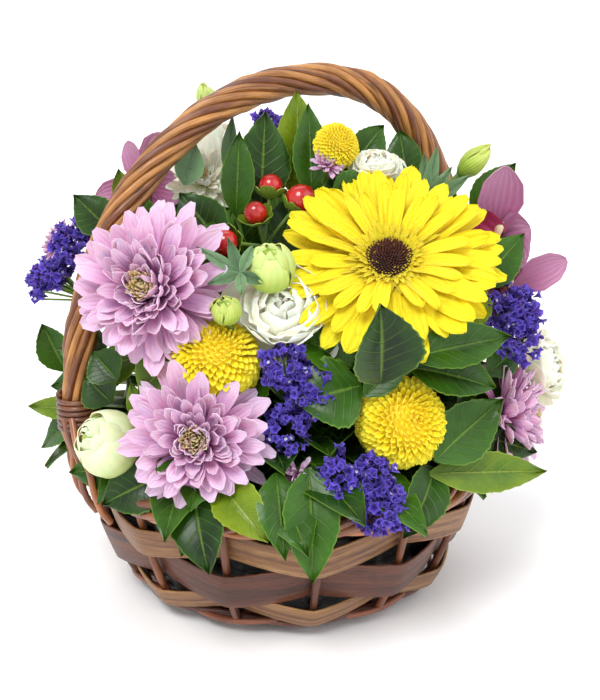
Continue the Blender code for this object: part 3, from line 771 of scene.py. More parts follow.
@dataclass
class Basket:
    """The woven basket. Its sizes repeat the frame's, and its heights come from the frame's boxes."""

    base_radius: float = 0.076
    rim_radius: float = 0.112
    rim_height: float = 0.0735
    wall_curve: float = 0.50
    stakes: int = 14
    stake_radius: float = 0.0021
    chip: float = 0.0013
    bulge: float = 0.0040
    dip: float = 0.0022
    rim_lay: float = 0.0040
    rim_strand: float = 0.00235
    rim_strands: int = 5
    rim_turns: int = 7
    bands: dict = field(default_factory=lambda: {
        "band_lower": (0.0180, 0.0056, 1, Chip.TAN),
        "band_middle": (0.0350, 0.0108, -1, Chip.DARK),
        "band_upper": (0.0555, 0.0082, 1, Chip.TAN),
    })

    def wall(self, z: "float | Array") -> "float | Array":
        """Radius of the stakes' centre line at a height."""
        rise = np.maximum(z, 0.0) / self.rim_height
        return self.base_radius + (self.rim_radius - self.base_radius) * rise**self.wall_curve

    def polar(self, radius: "float | Array", angle: "float | Array", z: "float | Array") -> Array:
        """Points from cylindrical coordinates."""
        angle = np.asarray(angle, dtype=float)
        radius, z = np.broadcast_to(radius, angle.shape), np.broadcast_to(z, angle.shape)
        return round_points(radius, angle, z)

    def make(self) -> None:
        """Builds and dresses the whole basket."""
        self.make_base()
        self.make_stakes()
        self.make_base_rods()
        for name in self.bands:
            self.make_band(name)
        self.make_rim()
        self.dress_liner()

    def make_base(self) -> None:
        """The woven base: a spiral of rods over crossed spokes, with a flat underside."""
        rng = np.random.default_rng(3)
        turns, steps = 13, 120
        low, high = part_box("base_disc")
        reach = (high[0] - low[0]) / 2
        t = np.linspace(0.0, 1.0, turns * steps)
        angle = t * turns * 2 * math.pi
        weave = np.sin(angle * 7.5) * 0.0006
        spiral = self.polar(0.004 + (reach - 0.007) * t, angle, 0.0027 + weave)
        paths, radii = [spiral], [0.0021 + rng.normal(0, 0.00008, len(spiral))]
        for i in range(4):
            a = i * math.pi / 4 + 0.2
            spoke = np.linspace(-1, 1, 24)[:, None] * np.array([math.cos(a), math.sin(a), 0.0]) * (reach
                - 0.004)
            paths.append(spoke + np.array([0, 0, 0.0031 + 0.0002 * i]))
            radii.append(0.0016)
        hoop = self.polar(reach - 0.0016, np.linspace(0, 2 * math.pi, 160), 0.0020)
        paths.append(hoop)
        radii.append(0.0019)
        show(rods("basket_base", paths, radii, 8, Willow.BASE.value.material(), side=(0.01, 0.02, 1.0)),
             "basket", "base_disc")

    def make_stakes(self) -> None:
        """The hoop and the upright stakes, slightly uneven as cut willow is."""
        rng = np.random.default_rng(5)
        hoop = self.polar(self.base_radius - 0.001, np.arange(120) / 120 * 2 * math.pi, 0.0076)
        material = Willow.STAKE.value.material()
        paths, radii = [], []
        z = np.concatenate([[0.0066], np.linspace(0.0078, self.rim_height - 0.004, 22)])
        for i in range(self.stakes):
            angle = 2 * math.pi * i / self.stakes + rng.normal(0, 0.004)
            radius = np.where(z < 0.007, self.base_radius - 0.001, self.wall(z) - 0.0002)
            paths.append(self.polar(radius, angle + 0.002 * np.sin(z * 90 + i), z))
            radii.append(self.stake_radius * (1 + 0.06 * np.sin(z * 160 + i * 2)))
        paths.append(np.vstack([hoop, hoop[:1]]))
        radii.append(0.0021)
        show(rods("basket_stakes", paths, radii, 10, material, side=(0.01, 0.02, 1.0)), "basket",
             "stake_frame")

    def make_base_rods(self) -> None:
        """Pairs of thin rods that cross between the stakes round the foot of the wall."""
        steps = 14 * 24
        angle = np.arange(steps) / steps * 2 * math.pi
        material = Willow.BASE.value.material()
        for name, z, radius, swing in (("base_rod_lower", 0.0033, self.base_radius + 0.0019, 0.0008),
                                       ("base_rod_upper", 0.0082, self.wall(0.0082) - 0.0010, 0.0026)):
            paths = []
            for phase in (0.0, math.pi):
                cross = angle * self.stakes / 2 + phase
                drift = 0.0006 * np.sin(angle * 5 + phase)
                paths.append(self.polar(radius + swing * np.cos(cross), angle,
                                        z + drift + 0.0009 * np.sin(cross)))
            thick = 0.00165 * (1 + 0.05 * np.sin(angle * 23))
            piece = rods(f"basket_{name}", paths, [thick, thick], 10, material, closed=True)
            show(piece, "basket", name)

    def make_band(self, name: str) -> None:
        """One flat chip woven over and under the stakes: bowed, with softly rounded edges."""
        middle, half, phase, finish = self.bands[name]
        steps, rng = self.stakes * 20, np.random.default_rng(len(name))
        angle = np.arange(steps) / steps * 2 * math.pi
        section = [(-1.0, -0.30), (-0.97, -0.5), (-0.5, -0.5), (0.0, -0.5), (0.5, -0.5), (0.97, -0.5),
                   (1.0, -0.30)]
        section += [(1.0, 0.30), (0.97, 0.5), (0.5, 0.62), (0.0, 0.66), (-0.5, 0.62), (-0.97, 0.5),
                    (-1.0, 0.30)]
        kink = np.arcsin(0.985 * np.cos(angle * self.stakes / 2)) / math.asin(0.985)
        out = phase * kink * self.bulge
        wander = 0.0005 * np.sin(angle * 3 + middle * 100) + 0.0004 * np.sin(angle * 8
            + 1) - phase * kink * self.dip
        low_z, high_z = middle - half, middle + half
        slope = np.array([self.wall(high_z) - self.wall(low_z), high_z - low_z])
        along_wall = slope / np.linalg.norm(slope)
        normal = np.array([along_wall[1], -along_wall[0]])
        reach = np.linalg.norm(slope) / 2
        edge = 1 + 0.03 * np.sin(angle * 5 + middle * 300) + 0.012 * rng.normal(size=steps)
        rings, around = [], []
        for up, face in section:
            rise = up * reach * edge + wander
            push = out + face * self.chip
            radius = (self.wall(low_z) + self.wall(high_z)) / 2 + along_wall[0] * rise + normal[0] * push
            rings.append(self.polar(radius, angle, middle + along_wall[1] * rise + normal[1] * push))
            around.append(np.full(steps, (up + 1) / 2))
        verts = np.stack(rings, axis=1).reshape(-1, 3)
        sides = len(section)
        i, k = np.meshgrid(np.arange(steps), np.arange(sides), indexing="ij")
        j, n = (i + 1) % steps, (k + 1) % sides
        corners = np.stack([i * sides + k, j * sides + k, j * sides + n, i * sides + n],
                           axis=-1).reshape(-1)
        run = np.repeat(angle * self.rim_radius, sides)
        values = {"along": run, "around": np.stack(around, axis=1).reshape(-1),
                  "tone": np.full(len(verts), middle * 9)}
        piece = build(f"chip_{name}", verts, corners, np.full(steps * sides, 4), values,
                      finish.value.material(), 50.0)
        show(piece, "chip_dark" if finish is Chip.DARK else "chip_tan", name)

    def make_rim(self) -> None:
        """Five rods laid loosely round one another; the first three stand for the frame's strands."""
        steps = 540
        angle = np.arange(steps) / steps * 2 * math.pi
        material = Willow.RIM.value.material()
        for strand in range(self.rim_strands):
            lay = self.rim_turns * angle + 2 * math.pi * strand / self.rim_strands + 0.25 * np.sin(angle
                * 4 + strand * 1.9)
            wander = 0.0005 * np.sin(angle * 7 + strand)
            path = self.polar(self.rim_radius + (self.rim_lay + wander) * np.cos(lay), angle,
                              self.rim_height + (self.rim_lay * 1.15 + wander) * np.sin(lay))
            thick = self.rim_strand * (1 + 0.06 * np.sin(angle * 11 + strand * 2) + 0.02
                                       * np.sin(angle * 37))
            piece = rods(f"rim_rod_{strand + 1}", [path], [thick], 12, material, closed=True,
                         tones=[(0.1, 0.8, 0.45, 0.95, 0.3)[strand]])
            show(piece, "basket", *([f"rim_strand_{strand + 1}"] if strand < 3 else []))

    def dress_liner(self) -> None:
        """The film presses against the wall in soft pleats, and the foam keeps its frame shape."""
        low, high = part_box("liner")
        steps, rows = 240, 14
        angle = np.arange(steps) / steps * 2 * math.pi
        rings = []
        for i in range(rows):
            share = i / (rows - 1)
            height = low[2] + 0.0045 + (high[2] - low[2] - 0.0045) * share
            pleat = 0.0008 * np.sin(angle * 41 + 2.3 * np.sin(angle * 5)) + 0.0006 * np.sin(angle * 13
                + share * 4)
            rings.append(self.polar(self.wall(height) - 0.0078 + pleat, angle, height))
        verts = np.stack(rings).reshape(-1, 3)
        inner = verts * np.array([0.985, 0.985, 1.0]) + np.array([0, 0, 0.0008])
        inner = inner.reshape(rows, steps, 3)[::-1].reshape(-1, 3)
        every = np.vstack([verts, inner])
        layers = rows * 2
        i, k = np.meshgrid(np.arange(layers - 1), np.arange(steps), indexing="ij")
        n = (k + 1) % steps
        corners = np.stack([i * steps + k, i * steps + n, (i + 1) * steps + n, (i + 1) * steps + k],
                           axis=-1).reshape(-1)
        ends = np.concatenate([np.arange(steps)[::-1], np.arange(steps) + (layers - 1) * steps])
        sizes = np.concatenate([np.full((layers - 1) * steps, 4), [steps, steps]])
        piece = build("liner_film", every, np.concatenate([corners, ends]), sizes, {}, liner_material(),
                      60.0)
        show(piece, "liner", "liner")
        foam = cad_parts["foam"]
        foam.data.materials.clear()
        foam.data.materials.append(foam_material())


@dataclass
class Handle:
    """The hoop handle: rods wound round a core and bound at each foot; the first eight are the frame's."""

    foot_x: float = 0.1165
    foot_z: float = 0.100
    top: float = 0.273
    squareness: float = 2.2
    skew: float = 0.026
    lean: float = 0.026
    strands: int = 10
    strand_radius: float = 0.00208
    lay_radius: float = 0.0065
    turns: float = -3.3
    core_radius: float = 0.0038
    leg: tuple = ((0.1120, 0.0920), (0.1055, 0.0850), (0.1008, 0.0780), (0.0995, 0.0660), (0.0935, 0.0360))

    def centre(self, share: Array) -> Array:
        """Points of the centre line, from the left foot (0) to the right foot (1)."""
        angle = math.pi * np.asarray(share, dtype=float)
        power = 2 / self.squareness
        across, up = np.cos(angle), np.maximum(np.sin(angle), 0.0)
        x = -np.sign(across) * np.abs(across) ** power * self.foot_x + self.skew * up**2
        return np.stack([x, self.lean * up**power, self.foot_z + (self.top - self.foot_z) * up**power],
                        axis=-1)

    def axes(self, path: Array) -> tuple[Array, Array]:
        """Outward and backward directions across the handle at each point of its path."""
        tangent = unit(np.gradient(path, axis=0))
        over = np.array([0.0, 1.0, 0.0]) - tangent * tangent[:, 1:2]
        over = unit(over)
        return np.cross(tangent, over), over

    def even_shares(self, steps: int) -> Array:
        """Shares whose points lie evenly along the arch."""
        fine = np.linspace(0.0, 1.0, 2000)
        path = self.centre(fine)
        run = np.concatenate([[0], np.cumsum(np.linalg.norm(np.diff(path, axis=0), axis=1))])
        return np.interp(np.linspace(0, run[-1], steps), run, fine)

    def make(self) -> None:
        """Builds the core, the wound rods and the bindings."""
        share = self.even_shares(220)
        path = self.centre(share)
        across, over = self.axes(path)
        material = Willow.HANDLE.value.material()
        leg = np.array([(-r, 0.0, z) for r, z in reversed(self.leg)])
        core = np.vstack([leg, path[::6], leg[::-1] * np.array([-1, 1, 1])])
        show(rods("handle_core_rod", [core], self.core_radius, 12, material, side=(0, 1, 0)), "handle",
             "handle_core")
        for rod in range(self.strands):
            rng = np.random.default_rng(40 + rod)
            lay = 2 * math.pi * (self.turns * share + rod / self.strands)
            wander = 0.0003 * np.sin(share * 31 + rod * 1.7) + 0.0002 * np.sin(share * 74 + rod)
            reach = self.lay_radius + wander
            line = path + reach[:, None] * (across * np.cos(lay)[:, None] + over * np.sin(lay)[:, None])
            thick = self.strand_radius * (1 + 0.05 * np.sin(share * 23 + rod * 2) + 0.02
                                          * np.sin(share * 90 + rod))
            for node in rng.uniform(0.05, 0.95, 3):
                thick = thick + 0.0004 * np.exp(-(((share - node) / 0.006) ** 2))
            tone = (rod * 0.618 + 0.15) % 1.0
            piece = rods(f"handle_wound_rod_{rod + 1}", [line], [thick], 12, material, side=(0, 1, 0),
                         tones=[tone])
            show(piece, "handle", *([f"handle_rod_{rod + 1}"] if rod < 8 else []))
        for side, name in ((-1, "binding_left"), (1, "binding_right")):
            self.make_binding(side, name)

    def make_binding(self, side: int, name: str) -> None:
        """A thin rod wound closely round the foot, and its tails over the rim."""
        low, high, turns = 0.1000, 0.1185, 6.5
        t = np.linspace(0.0, 1.0, 300)
        z = low + (high - low) * t
        share = np.arcsin(np.clip((z - self.foot_z) / (self.top - self.foot_z), 0,
                                  1) ** (self.squareness / 2)) / math.pi
        centre = self.centre(share if side < 0 else 1 - share)
        angle = t * turns * 2 * math.pi
        coil = centre + np.stack([np.cos(angle), np.sin(angle), 0 * angle], axis=-1) * 0.0106
        coil[:, 2] = z
        paths, radii = [coil], [0.0014]
        outside = 0.1206
        for i, slant in enumerate((-34.0, -14.0, 6.0, 26.0)):
            fan = math.radians(slant)
            stops = [(outside + 0.0035, 0.0960, 0.26 * fan),
                     (outside + 0.0004, 0.0850, 0.34 * fan), (outside + 0.0002, 0.0740, 0.40 * fan),
                     (outside - 0.0022, 0.0640, 0.43 * fan), (outside - 0.0070, 0.0560, 0.44 * fan)]
            points = [np.array([side * (self.foot_x + 0.0098 * math.cos(1.6 * fan)),
                                0.0098 * math.sin(1.6 * fan), 0.1080])]
            for radius, height, spread in stops:
                points.append(np.array([side * radius * math.cos(spread), radius * math.sin(spread),
                                        height]))
            paths.append(smooth(np.array(points), 40))
            radii.append(0.0019 - 0.0001 * i)
        show(rods(f"foot_{name}", paths, radii, 10, Willow.RIM.value.material(), side=(0, 1, 0.02)),
             "basket", name)


def smooth(points: Array, steps: int) -> Array:
    """A smooth curve through a few points (Catmull-Rom)."""
    padded = np.vstack([2 * points[0] - points[1], points, 2 * points[-1] - points[-2]])
    found = []
    for t in np.linspace(0, len(points) - 1 - 1e-9, steps):
        i, f = int(t), t - int(t)
        a, b, c, d = padded[i : i + 4]
        found.append(0.5 * (2 * b + (c - a) * f + (2 * a - 5 * b + 4 * c - d) * f**2
                            + (3 * b - a - 3 * c + d) * f**3))
    return np.array(found)


# ---------------------------------------------------------------- flowers


@dataclass
class Flower:
    """A bloom's place, the way it faces, its radius and its roll about its axis, with its stem."""

    name: str
    at: tuple
    heading: float
    pitch: float
    radius: float
    node: "str | None" = None
    seed: int = 1
    roll: float = 0.0

    def axes(self) -> tuple[Array, Array, Array]:
        """Two directions across the bloom, and the one that it faces."""
        facing = direction(self.heading, self.pitch)
        side = np.array([0.0, 0.0, 1.0]) if abs(facing[2]) < 0.95 else np.array([0.0, 1.0, 0.0])
        across = unit(np.cross(side, facing))
        up = np.cross(facing, across)
        turn = math.radians(self.roll)
        cos, sin = math.cos(turn), math.sin(turn)
        return across * cos + up * sin, up * cos - across * sin, facing

    def frame(self) -> Array:
        """The bloom's axes as the columns of a frame."""
        return np.stack(self.axes(), axis=-1)

    def crown(self, azimuth: Array, reach: "float | Array", ahead: "float | Array") -> tuple[Array, Array]:
        """Origins and frames of petals set round the bloom.

        Args:
            azimuth: angle of each petal round the bloom.
            reach: its distance from the bloom's axis.
            ahead: its distance ahead of the bloom's place.

        Returns:
            Origins, and frames with columns outward, sideways and facing.
        """
        a, b, f = self.axes()
        count = len(azimuth)
        radial = np.cos(azimuth)[:, None] * a + np.sin(azimuth)[:, None] * b
        facing = np.broadcast_to(f, radial.shape)
        origins = np.asarray(self.at) + radial * column(reach, count) + facing * column(ahead, count)
        return origins, np.stack([radial, np.cross(facing, radial), facing], axis=-1)

    def attach(self, part: str, shape: Blades, cells: tuple[int, int], origins: Array, frames: Array,
               tones: Array,
               finish: Petal, slot: str, *nodes: str, sharp: float = 52.0) -> None:
        """Builds and shows a set of petals.

        Args:
            part: the piece's name after the bloom's.
            shape: their shape.
            cells: spans along and across each petal.
            origins: their places.
            frames: their axes.
            tones: a value for each, 0 to 1.
            finish: their finish.
            slot: the name of the finish; not used.
            nodes: the frame's nodes that they stand for.
            sharp: crisp edge angle in degrees.
        """
        stock = Stock.blade(*cells)
        points = shape.points(stock, len(origins))
        material = finish.value.material()
        show(stamp(f"{self.name}_{part}", stock, points, origins, frames, tones, material, sharp), slot,
             *nodes)

    def nodes(self) -> tuple:
        """The frame node that this bloom's first piece stands for."""
        return (self.node,) if self.node else ()

    def stalk(self, back: float) -> Array:
        """Path of the stem, from the foam to a distance behind the bloom."""
        _, _, facing = self.axes()
        focus = np.array([0.0, 0.0, 0.010])
        base = np.asarray(self.at) - facing * back
        knee = base - facing * 0.2 * np.linalg.norm(base - focus)
        start = focus + unit(knee - focus) * 0.058
        grip = start + (knee - start) * 0.35
        s = np.linspace(0, 1, 14)[:, None]
        curve = grip * (1 - s) ** 2 + knee * 2 * s * (1 - s) + base * s**2
        return np.vstack([start[None], curve])


class Gerbera(Flower):
    """The big yellow daisy: two rows of rays, a tuft of short florets and a dark eye."""

    RAY = ((0.0, 0.30), (0.15, 0.55), (0.45, 0.92), (0.72, 1.0), (0.88, 0.86), (0.96, 0.58), (1.0, 0.22))
    TUFT = ((0.0, 0.5), (0.5, 1.0), (0.85, 0.8), (1.0, 0.2))

    def make(self) -> None:
        """Builds the rays, the tuft, the eye and the cup behind."""
        rng = np.random.default_rng(self.seed)
        r = self.radius
        rays = []
        for count, length, start, bend, reach, ahead, width in (
            (30, 0.85, 6.0, -8.0, 0.17, -0.045, 0.212),
            (26, 0.80, 15.0, -12.0, 0.15, -0.010, 0.190),
            (24, 0.60, 25.0, -20.0, 0.14, 0.010, 0.140),
        ):
            azimuth = (np.arange(count) + rng.uniform(-0.28, 0.28, count)) * 2 * math.pi / count + start
            rays.append((azimuth, np.full(count, length) * rng.uniform(0.94, 1.05, count),
                         start + rng.normal(0, 5, count),
                         bend + rng.normal(0, 10, count), reach, ahead + rng.uniform(-0.02, 0.02, count),
                         width * rng.uniform(0.88, 1.08, count)))
        azimuth = np.concatenate([x[0] for x in rays])
        count = len(azimuth)
        reach = np.concatenate([np.full(len(x[0]), x[4]) for x in rays]) * r
        ahead = np.concatenate([x[5] for x in rays]) * r
        origins, frames = self.crown(azimuth, reach, ahead)
        shape = Blades(np.concatenate([x[1] for x in rays]) * r, np.concatenate([x[6] for x in rays]) * r,
                       self.RAY,
                       np.concatenate([x[2] for x in rays]), np.concatenate([x[3] for x in rays]), 1.3,
                       cup=rng.uniform(-0.10, 0.40, count), thick=0.0005, ruffle=0.0010, ruffle_waves=1.5,
                       twist=rng.normal(0, 10, count), seed=self.seed)
        self.attach("rays", shape, (12, 6), origins, frames, rng.random(count), Petal.GERBERA,
                    "yellow_petal", "gerbera_rays")
        self.make_tuft(rng)
        self.make_eye(rng)
        self.make_cup(rng)

    def make_tuft(self, rng: np.random.Generator) -> None:
        """Three rings of short narrow florets between the rays and the eye."""
        count = 240
        ring = np.arange(count) % 4
        azimuth = np.arange(count) * 2 * math.pi / count + rng.uniform(-0.05, 0.05, count)
        reach = np.array([0.22, 0.205, 0.19, 0.18])[ring] * self.radius
        origins, frames = self.crown(azimuth, reach,
                                     np.array([0.02, 0.03, 0.04, 0.045])[ring] * self.radius)
        length = np.array([0.26, 0.20, 0.15, 0.10])[ring] * self.radius * rng.uniform(0.75, 1.2, count)
        shape = Blades(length, 0.046 * self.radius, self.TUFT,
                       np.array([24, 36, 48, 60])[ring] + rng.normal(0, 7, count),
                       -34.0, cup=0.5, thick=0.0003, twist=rng.normal(0, 20, count))
        self.attach("tuft", shape, (5, 2), origins, frames, rng.random(count), Petal.GERBERA_TUFT,
                    "yellow_petal")

    def make_eye(self, rng: np.random.Generator) -> None:
        """A low dark dome of florets, the outer ones tipped yellow."""
        r = self.radius
        dome = Stock.turned([(0.02, -0.10), (0.17, -0.08), (0.19, 0.02), (0.17, 0.065), (0.11, 0.075),
                             (0.05, 0.062), (0.01, 0.055)], 32)
        frames = self.frame()[None]
        local = round_points(dome.along, dome.across, dome.side)[None] * r
        dome.along = np.clip(dome.along * 2, 0, 1)
        piece = stamp(f"{self.name}_eye", dome, local, np.array([self.at]), frames, np.array([0.6]),
                      Petal.MAROON.value.material())
        show(piece, "gerbera_eye", "gerbera_eye")
        count = 210
        share = np.sqrt((np.arange(count) + 0.5) / count)
        origins, frames = self.crown(np.arange(count) * GOLDEN_ANGLE, 0.18 * r * share,
                                     (0.055 + 0.02 * np.sin(share * 3)) * r)
        shape = Blades(0.052 * r * rng.uniform(0.8, 1.2, count), 0.022 * r,
                       ((0, 0.9), (0.6, 1.0), (1.0, 0.5)),
                       92 - 34 * share, -25.0 * share, cup=0.3, thick=0.0004)
        self.attach("eye_florets", shape, (3, 1), origins, frames, rng.random(count), Petal.MAROON,
                    "gerbera_eye")
        count = 64
        share = np.concatenate([np.full(40, 0.98), rng.uniform(0.60, 0.90, 24)])
        azimuth = np.concatenate([np.arange(40) / 40 * 2 * math.pi, rng.uniform(0, 2 * math.pi, 24)])
        origins, frames = self.crown(azimuth, 0.18 * r * share, 0.090 * r)
        shape = Blades(0.024 * r, 0.013 * r, ((0, 0.5), (0.6, 1.0), (1.0, 0.6)), 75.0, -40.0, cup=0.3,
                       thick=0.0003)
        self.attach("eye_tips", shape, (3, 1), origins, frames, rng.random(count), Petal.GERBERA_TUFT,
                    "yellow_petal")

    def make_cup(self, rng: np.random.Generator) -> None:
        """The green bracts behind the head, and the stem."""
        count = 40
        azimuth = np.arange(count) * GOLDEN_ANGLE
        origins, frames = self.crown(azimuth, 0.05 * self.radius, -0.30 * self.radius)
        shape = Blades(0.34 * self.radius, 0.10 * self.radius, Mum.POINT, 44.0, -18.0, cup=0.2,
                       thick=0.0005)
        self.attach("bracts", shape, (5, 2), origins, frames, rng.random(count), Petal.SEPAL, "leaf")
        STALKS.append((self.stalk(0.25 * self.radius), 0.0027))


STALKS: list[tuple[Array, float]] = []


@dataclass
class Mum(Flower):
    """A spray chrysanthemum: channelled petals, the inner ones closed over a cream eye."""

    POINT: ClassVar[tuple] = ((0.0, 0.45), (0.3, 0.85), (0.6, 1.0), (0.85, 0.62), (1.0, 0.12))
    SPOON: ClassVar[tuple] = ((0.0, 0.42), (0.25, 0.66), (0.55, 0.93), (0.80, 1.0), (0.92, 0.84),
                              (0.98, 0.52), (1.0, 0.30))
    petals: int = 150
    finish: Petal = Petal.PINK
    slot_name: str = "pink_petal"
    crest: ClassVar[float] = math.radians(90.0)

    def make(self) -> None:
        """Builds the petals, the eye, the bracts and the stem."""
        rng = np.random.default_rng(self.seed)
        count, r = self.petals, self.radius
        t = np.arange(count) / (count - 1)
        azimuth = np.arange(count) * GOLDEN_ANGLE + rng.normal(0, 0.10, count)
        origins, frames = self.crown(azimuth, r * (0.21 - 0.12 * t), r * (-0.26 + 0.28 * t))
        length = r * np.interp(t, [0, 0.35, 0.7, 1], [0.92, 0.80, 0.56, 0.32]) * rng.uniform(0.82, 1.10,
            count)
        length = length * (1 + 0.10 * np.cos(azimuth - self.crest))
        width = r * np.interp(t, [0, 0.5, 1], [0.285, 0.215, 0.12]) * rng.uniform(0.82, 1.14, count)
        shape = Blades(length, width, self.SPOON,
                       np.interp(t, [0, 0.3, 0.7, 1], [-2, 22, 54, 74]) + rng.normal(0, 9, count),
                       np.interp(t, [0, 0.4, 1], [-4, 10, 24]) + rng.normal(0, 16, count), 1.6, cup=0.42,
                       thick=0.00045,
                       ruffle=0.0004, twist=rng.normal(0, 18, count), seed=self.seed)
        # The inner petals get lower tones and come out darker: painted shade in the heart of the bloom, over
        # a random tone.
        self.attach("petals", shape, (7, 4), origins, frames,
                    np.clip(1.0 - 0.4 * t + rng.normal(0, 0.16, count), 0, 1), self.finish, self.slot_name,
                    *self.nodes())
        self.make_eye(rng)
        count = 22
        origins, frames = self.crown(np.arange(count) * GOLDEN_ANGLE, 0.05 * r, -0.42 * r)
        shape = Blades(0.42 * r, 0.16 * r, self.POINT, 34.0, -20.0, cup=0.2, thick=0.0005)
        self.attach("bracts", shape, (4, 2), origins, frames, rng.random(count), Petal.SEPAL, "leaf")
        STALKS.append((self.stalk(0.40 * r), 0.0019))

    def make_eye(self, rng: np.random.Generator) -> None:
        """Short cream florets at the centre."""
        count = 40
        share = np.sqrt((np.arange(count) + 0.5) / count)
        origins, frames = self.crown(np.arange(count) * GOLDEN_ANGLE, 0.12 * self.radius * share,
                                     0.16 * self.radius)
        shape = Blades(self.radius * rng.uniform(0.18, 0.29, count), 0.065 * self.radius, self.SPOON,
                       88 - 30 * share,
                       22.0, cup=0.8, thick=0.0003)
        self.attach("eye", shape, (4, 2), origins, frames, rng.random(count), Petal.CREAM_EYE,
                    self.slot_name)


class Button(Flower):
    """A button chrysanthemum: a dome packed with short round florets."""

    FLORET = ((0.0, 0.45), (0.4, 0.85), (0.72, 1.0), (0.92, 0.72), (1.0, 0.30))
    height = 0.80
    florets = 440

    def make(self) -> None:
        """Builds the florets over their dome, the core under them and the stem."""
        rng = np.random.default_rng(self.seed)
        count, r = self.florets, self.radius
        share = (np.arange(count) + 0.5) / count
        polar = np.arccos(1 - 1.42 * share)
        azimuth = np.arange(count) * GOLDEN_ANGLE
        a, b, f = self.axes()
        radial = np.cos(azimuth)[:, None] * a + np.sin(azimuth)[:, None] * b
        shell = 0.80 * r
        origins = np.asarray(self.at) + radial * (np.sin(polar) * shell)[:, None]
        origins = origins + f * ((np.cos(polar) * self.height - 0.30) * shell)[:, None]
        normal = unit(radial * np.sin(polar)[:, None] + f * (np.cos(polar) / self.height)[:, None])
        sideways = np.cross(f, radial)
        outward = np.cross(sideways, normal)
        frames = np.stack([outward, sideways, normal], axis=-1)
        size = r * np.interp(share, [0, 0.15, 0.7, 0.86, 1.0],
                             [0.15, 0.22, 0.28, 0.38, 0.50]) * rng.uniform(0.88, 1.12, count)
        shape = Blades(size, size * np.interp(share, [0, 1], [0.62, 0.60]), self.FLORET,
                       np.interp(share, [0, 0.3, 0.8, 1], [72, 50, 30, 8]) + rng.normal(0, 6, count),
                       np.interp(share, [0, 0.3, 1], [40, 22, -2]) + rng.normal(0, 8, count), cup=0.75,
                       thick=0.0004,
                       seed=self.seed)
        tones = np.clip(np.interp(share, [0, 0.12, 0.4, 1], [0.25, 0.5, 0.85, 1.0])
                        + rng.normal(0, 0.13, count), 0, 1)
        self.attach("florets", shape, (4, 2), origins, frames, tones, Petal.BUTTON, "yellow_petal",
                    *self.nodes())
        core = Stock.turned([(0.05, -0.9), (0.55, -0.80), (0.95, -0.35), (0.98, 0.0), (0.80, 0.36),
                             (0.45, 0.60), (0.05, 0.68)], 20)
        local = round_points(core.along, core.across, core.side)[None] * shell * 0.92
        local[..., 2] -= 0.12 * shell
        piece = stamp(f"{self.name}_core", core, local, np.array([self.at]), self.frame()[None],
                      np.array([0.3]), Petal.BUTTON.value.material())
        show(piece, "yellow_petal")
        STALKS.append((self.stalk(0.70 * r), 0.0018))


class Lisianthus(Flower):
    """A white bloom: broad outer petals round a rolled heart with wavy rims."""

    BROAD = ((0.0, 0.22), (0.2, 0.55), (0.45, 0.86), (0.7, 1.0), (0.88, 0.94), (0.97, 0.72), (1.0, 0.50))
    finish = Petal.WHITE

    def make(self) -> None:
        """Builds the outer petals, the heart, the sepals and the stem."""
        rng = np.random.default_rng(self.seed)
        r = self.radius
        azimuth, length, width, start, bend, ahead = [], [], [], [], [], []
        for ring, (count, long, wide, rise, curl, fore) in enumerate((
            (6, 1.12, 1.16, 4, 22, -0.40), (6, 1.04, 1.10, 24, 26, -0.38), (5, 0.96, 1.02, 42, 26, -0.36),
        )):
            azimuth.append((np.arange(count) + ring * 0.5 + rng.uniform(-0.15, 0.15, count)) * 2
                           * math.pi / count)
            length.append(np.full(count, long) * rng.uniform(0.92, 1.06, count))
            width.append(np.full(count, wide) * rng.uniform(0.9, 1.1, count))
            start.append(np.full(count, rise) + rng.normal(0, 5, count))
            bend.append(np.full(count, curl) + rng.normal(0, 8, count))
            ahead.append(np.full(count, fore))
        azimuth = np.concatenate(azimuth)
        count = len(azimuth)
        origins, frames = self.crown(azimuth, 0.05 * r, np.concatenate(ahead) * r)
        shape = Blades(np.concatenate(length) * r, np.concatenate(width) * r, self.BROAD,
                       np.concatenate(start),
                       np.concatenate(bend), 0.8, cup=0.36, thick=0.00035, ruffle=0.05 * r,
                       ruffle_waves=1.7, seed=self.seed)
        self.attach("petals", shape, (14, 12), origins, frames, rng.random(count), self.finish,
                    "white_petal", *self.nodes(), sharp=70.0)
        stock = Stock.blade(14, 12)
        heart = wrapped(stock, 11, r * 0.64, 1.20, 0.30, 0.0006, 0.12)
        count = len(heart)
        heart[..., 2] += 0.16 * r
        origins = np.broadcast_to(np.asarray(self.at), (count, 3))
        frames = np.broadcast_to(self.frame(), (count, 3, 3))
        piece = stamp(f"{self.name}_heart", stock, heart, origins, frames, rng.random(count),
                      self.finish.value.material(), 70.0)
        show(piece, "white_petal")
        self.make_sepals(5, 0.55, 0.20, 30.0)
        STALKS.append((self.stalk(0.44 * r), 0.0016))

    def make_sepals(self, count: int, length: float, width: float, start: float) -> None:
        """Narrow green sepals behind the bloom."""
        origins, frames = self.crown(np.arange(count) * 2 * math.pi / count, 0.03 * self.radius,
                                     -0.46 * self.radius)
        shape = Blades(length * self.radius, width * self.radius, Mum.POINT, start, 14.0, cup=0.3,
                       thick=0.0005)
        tones = np.linspace(0.2, 0.9, count)
        self.attach("sepals", shape, (6, 2), origins, frames, tones, Petal.SEPAL, "leaf")


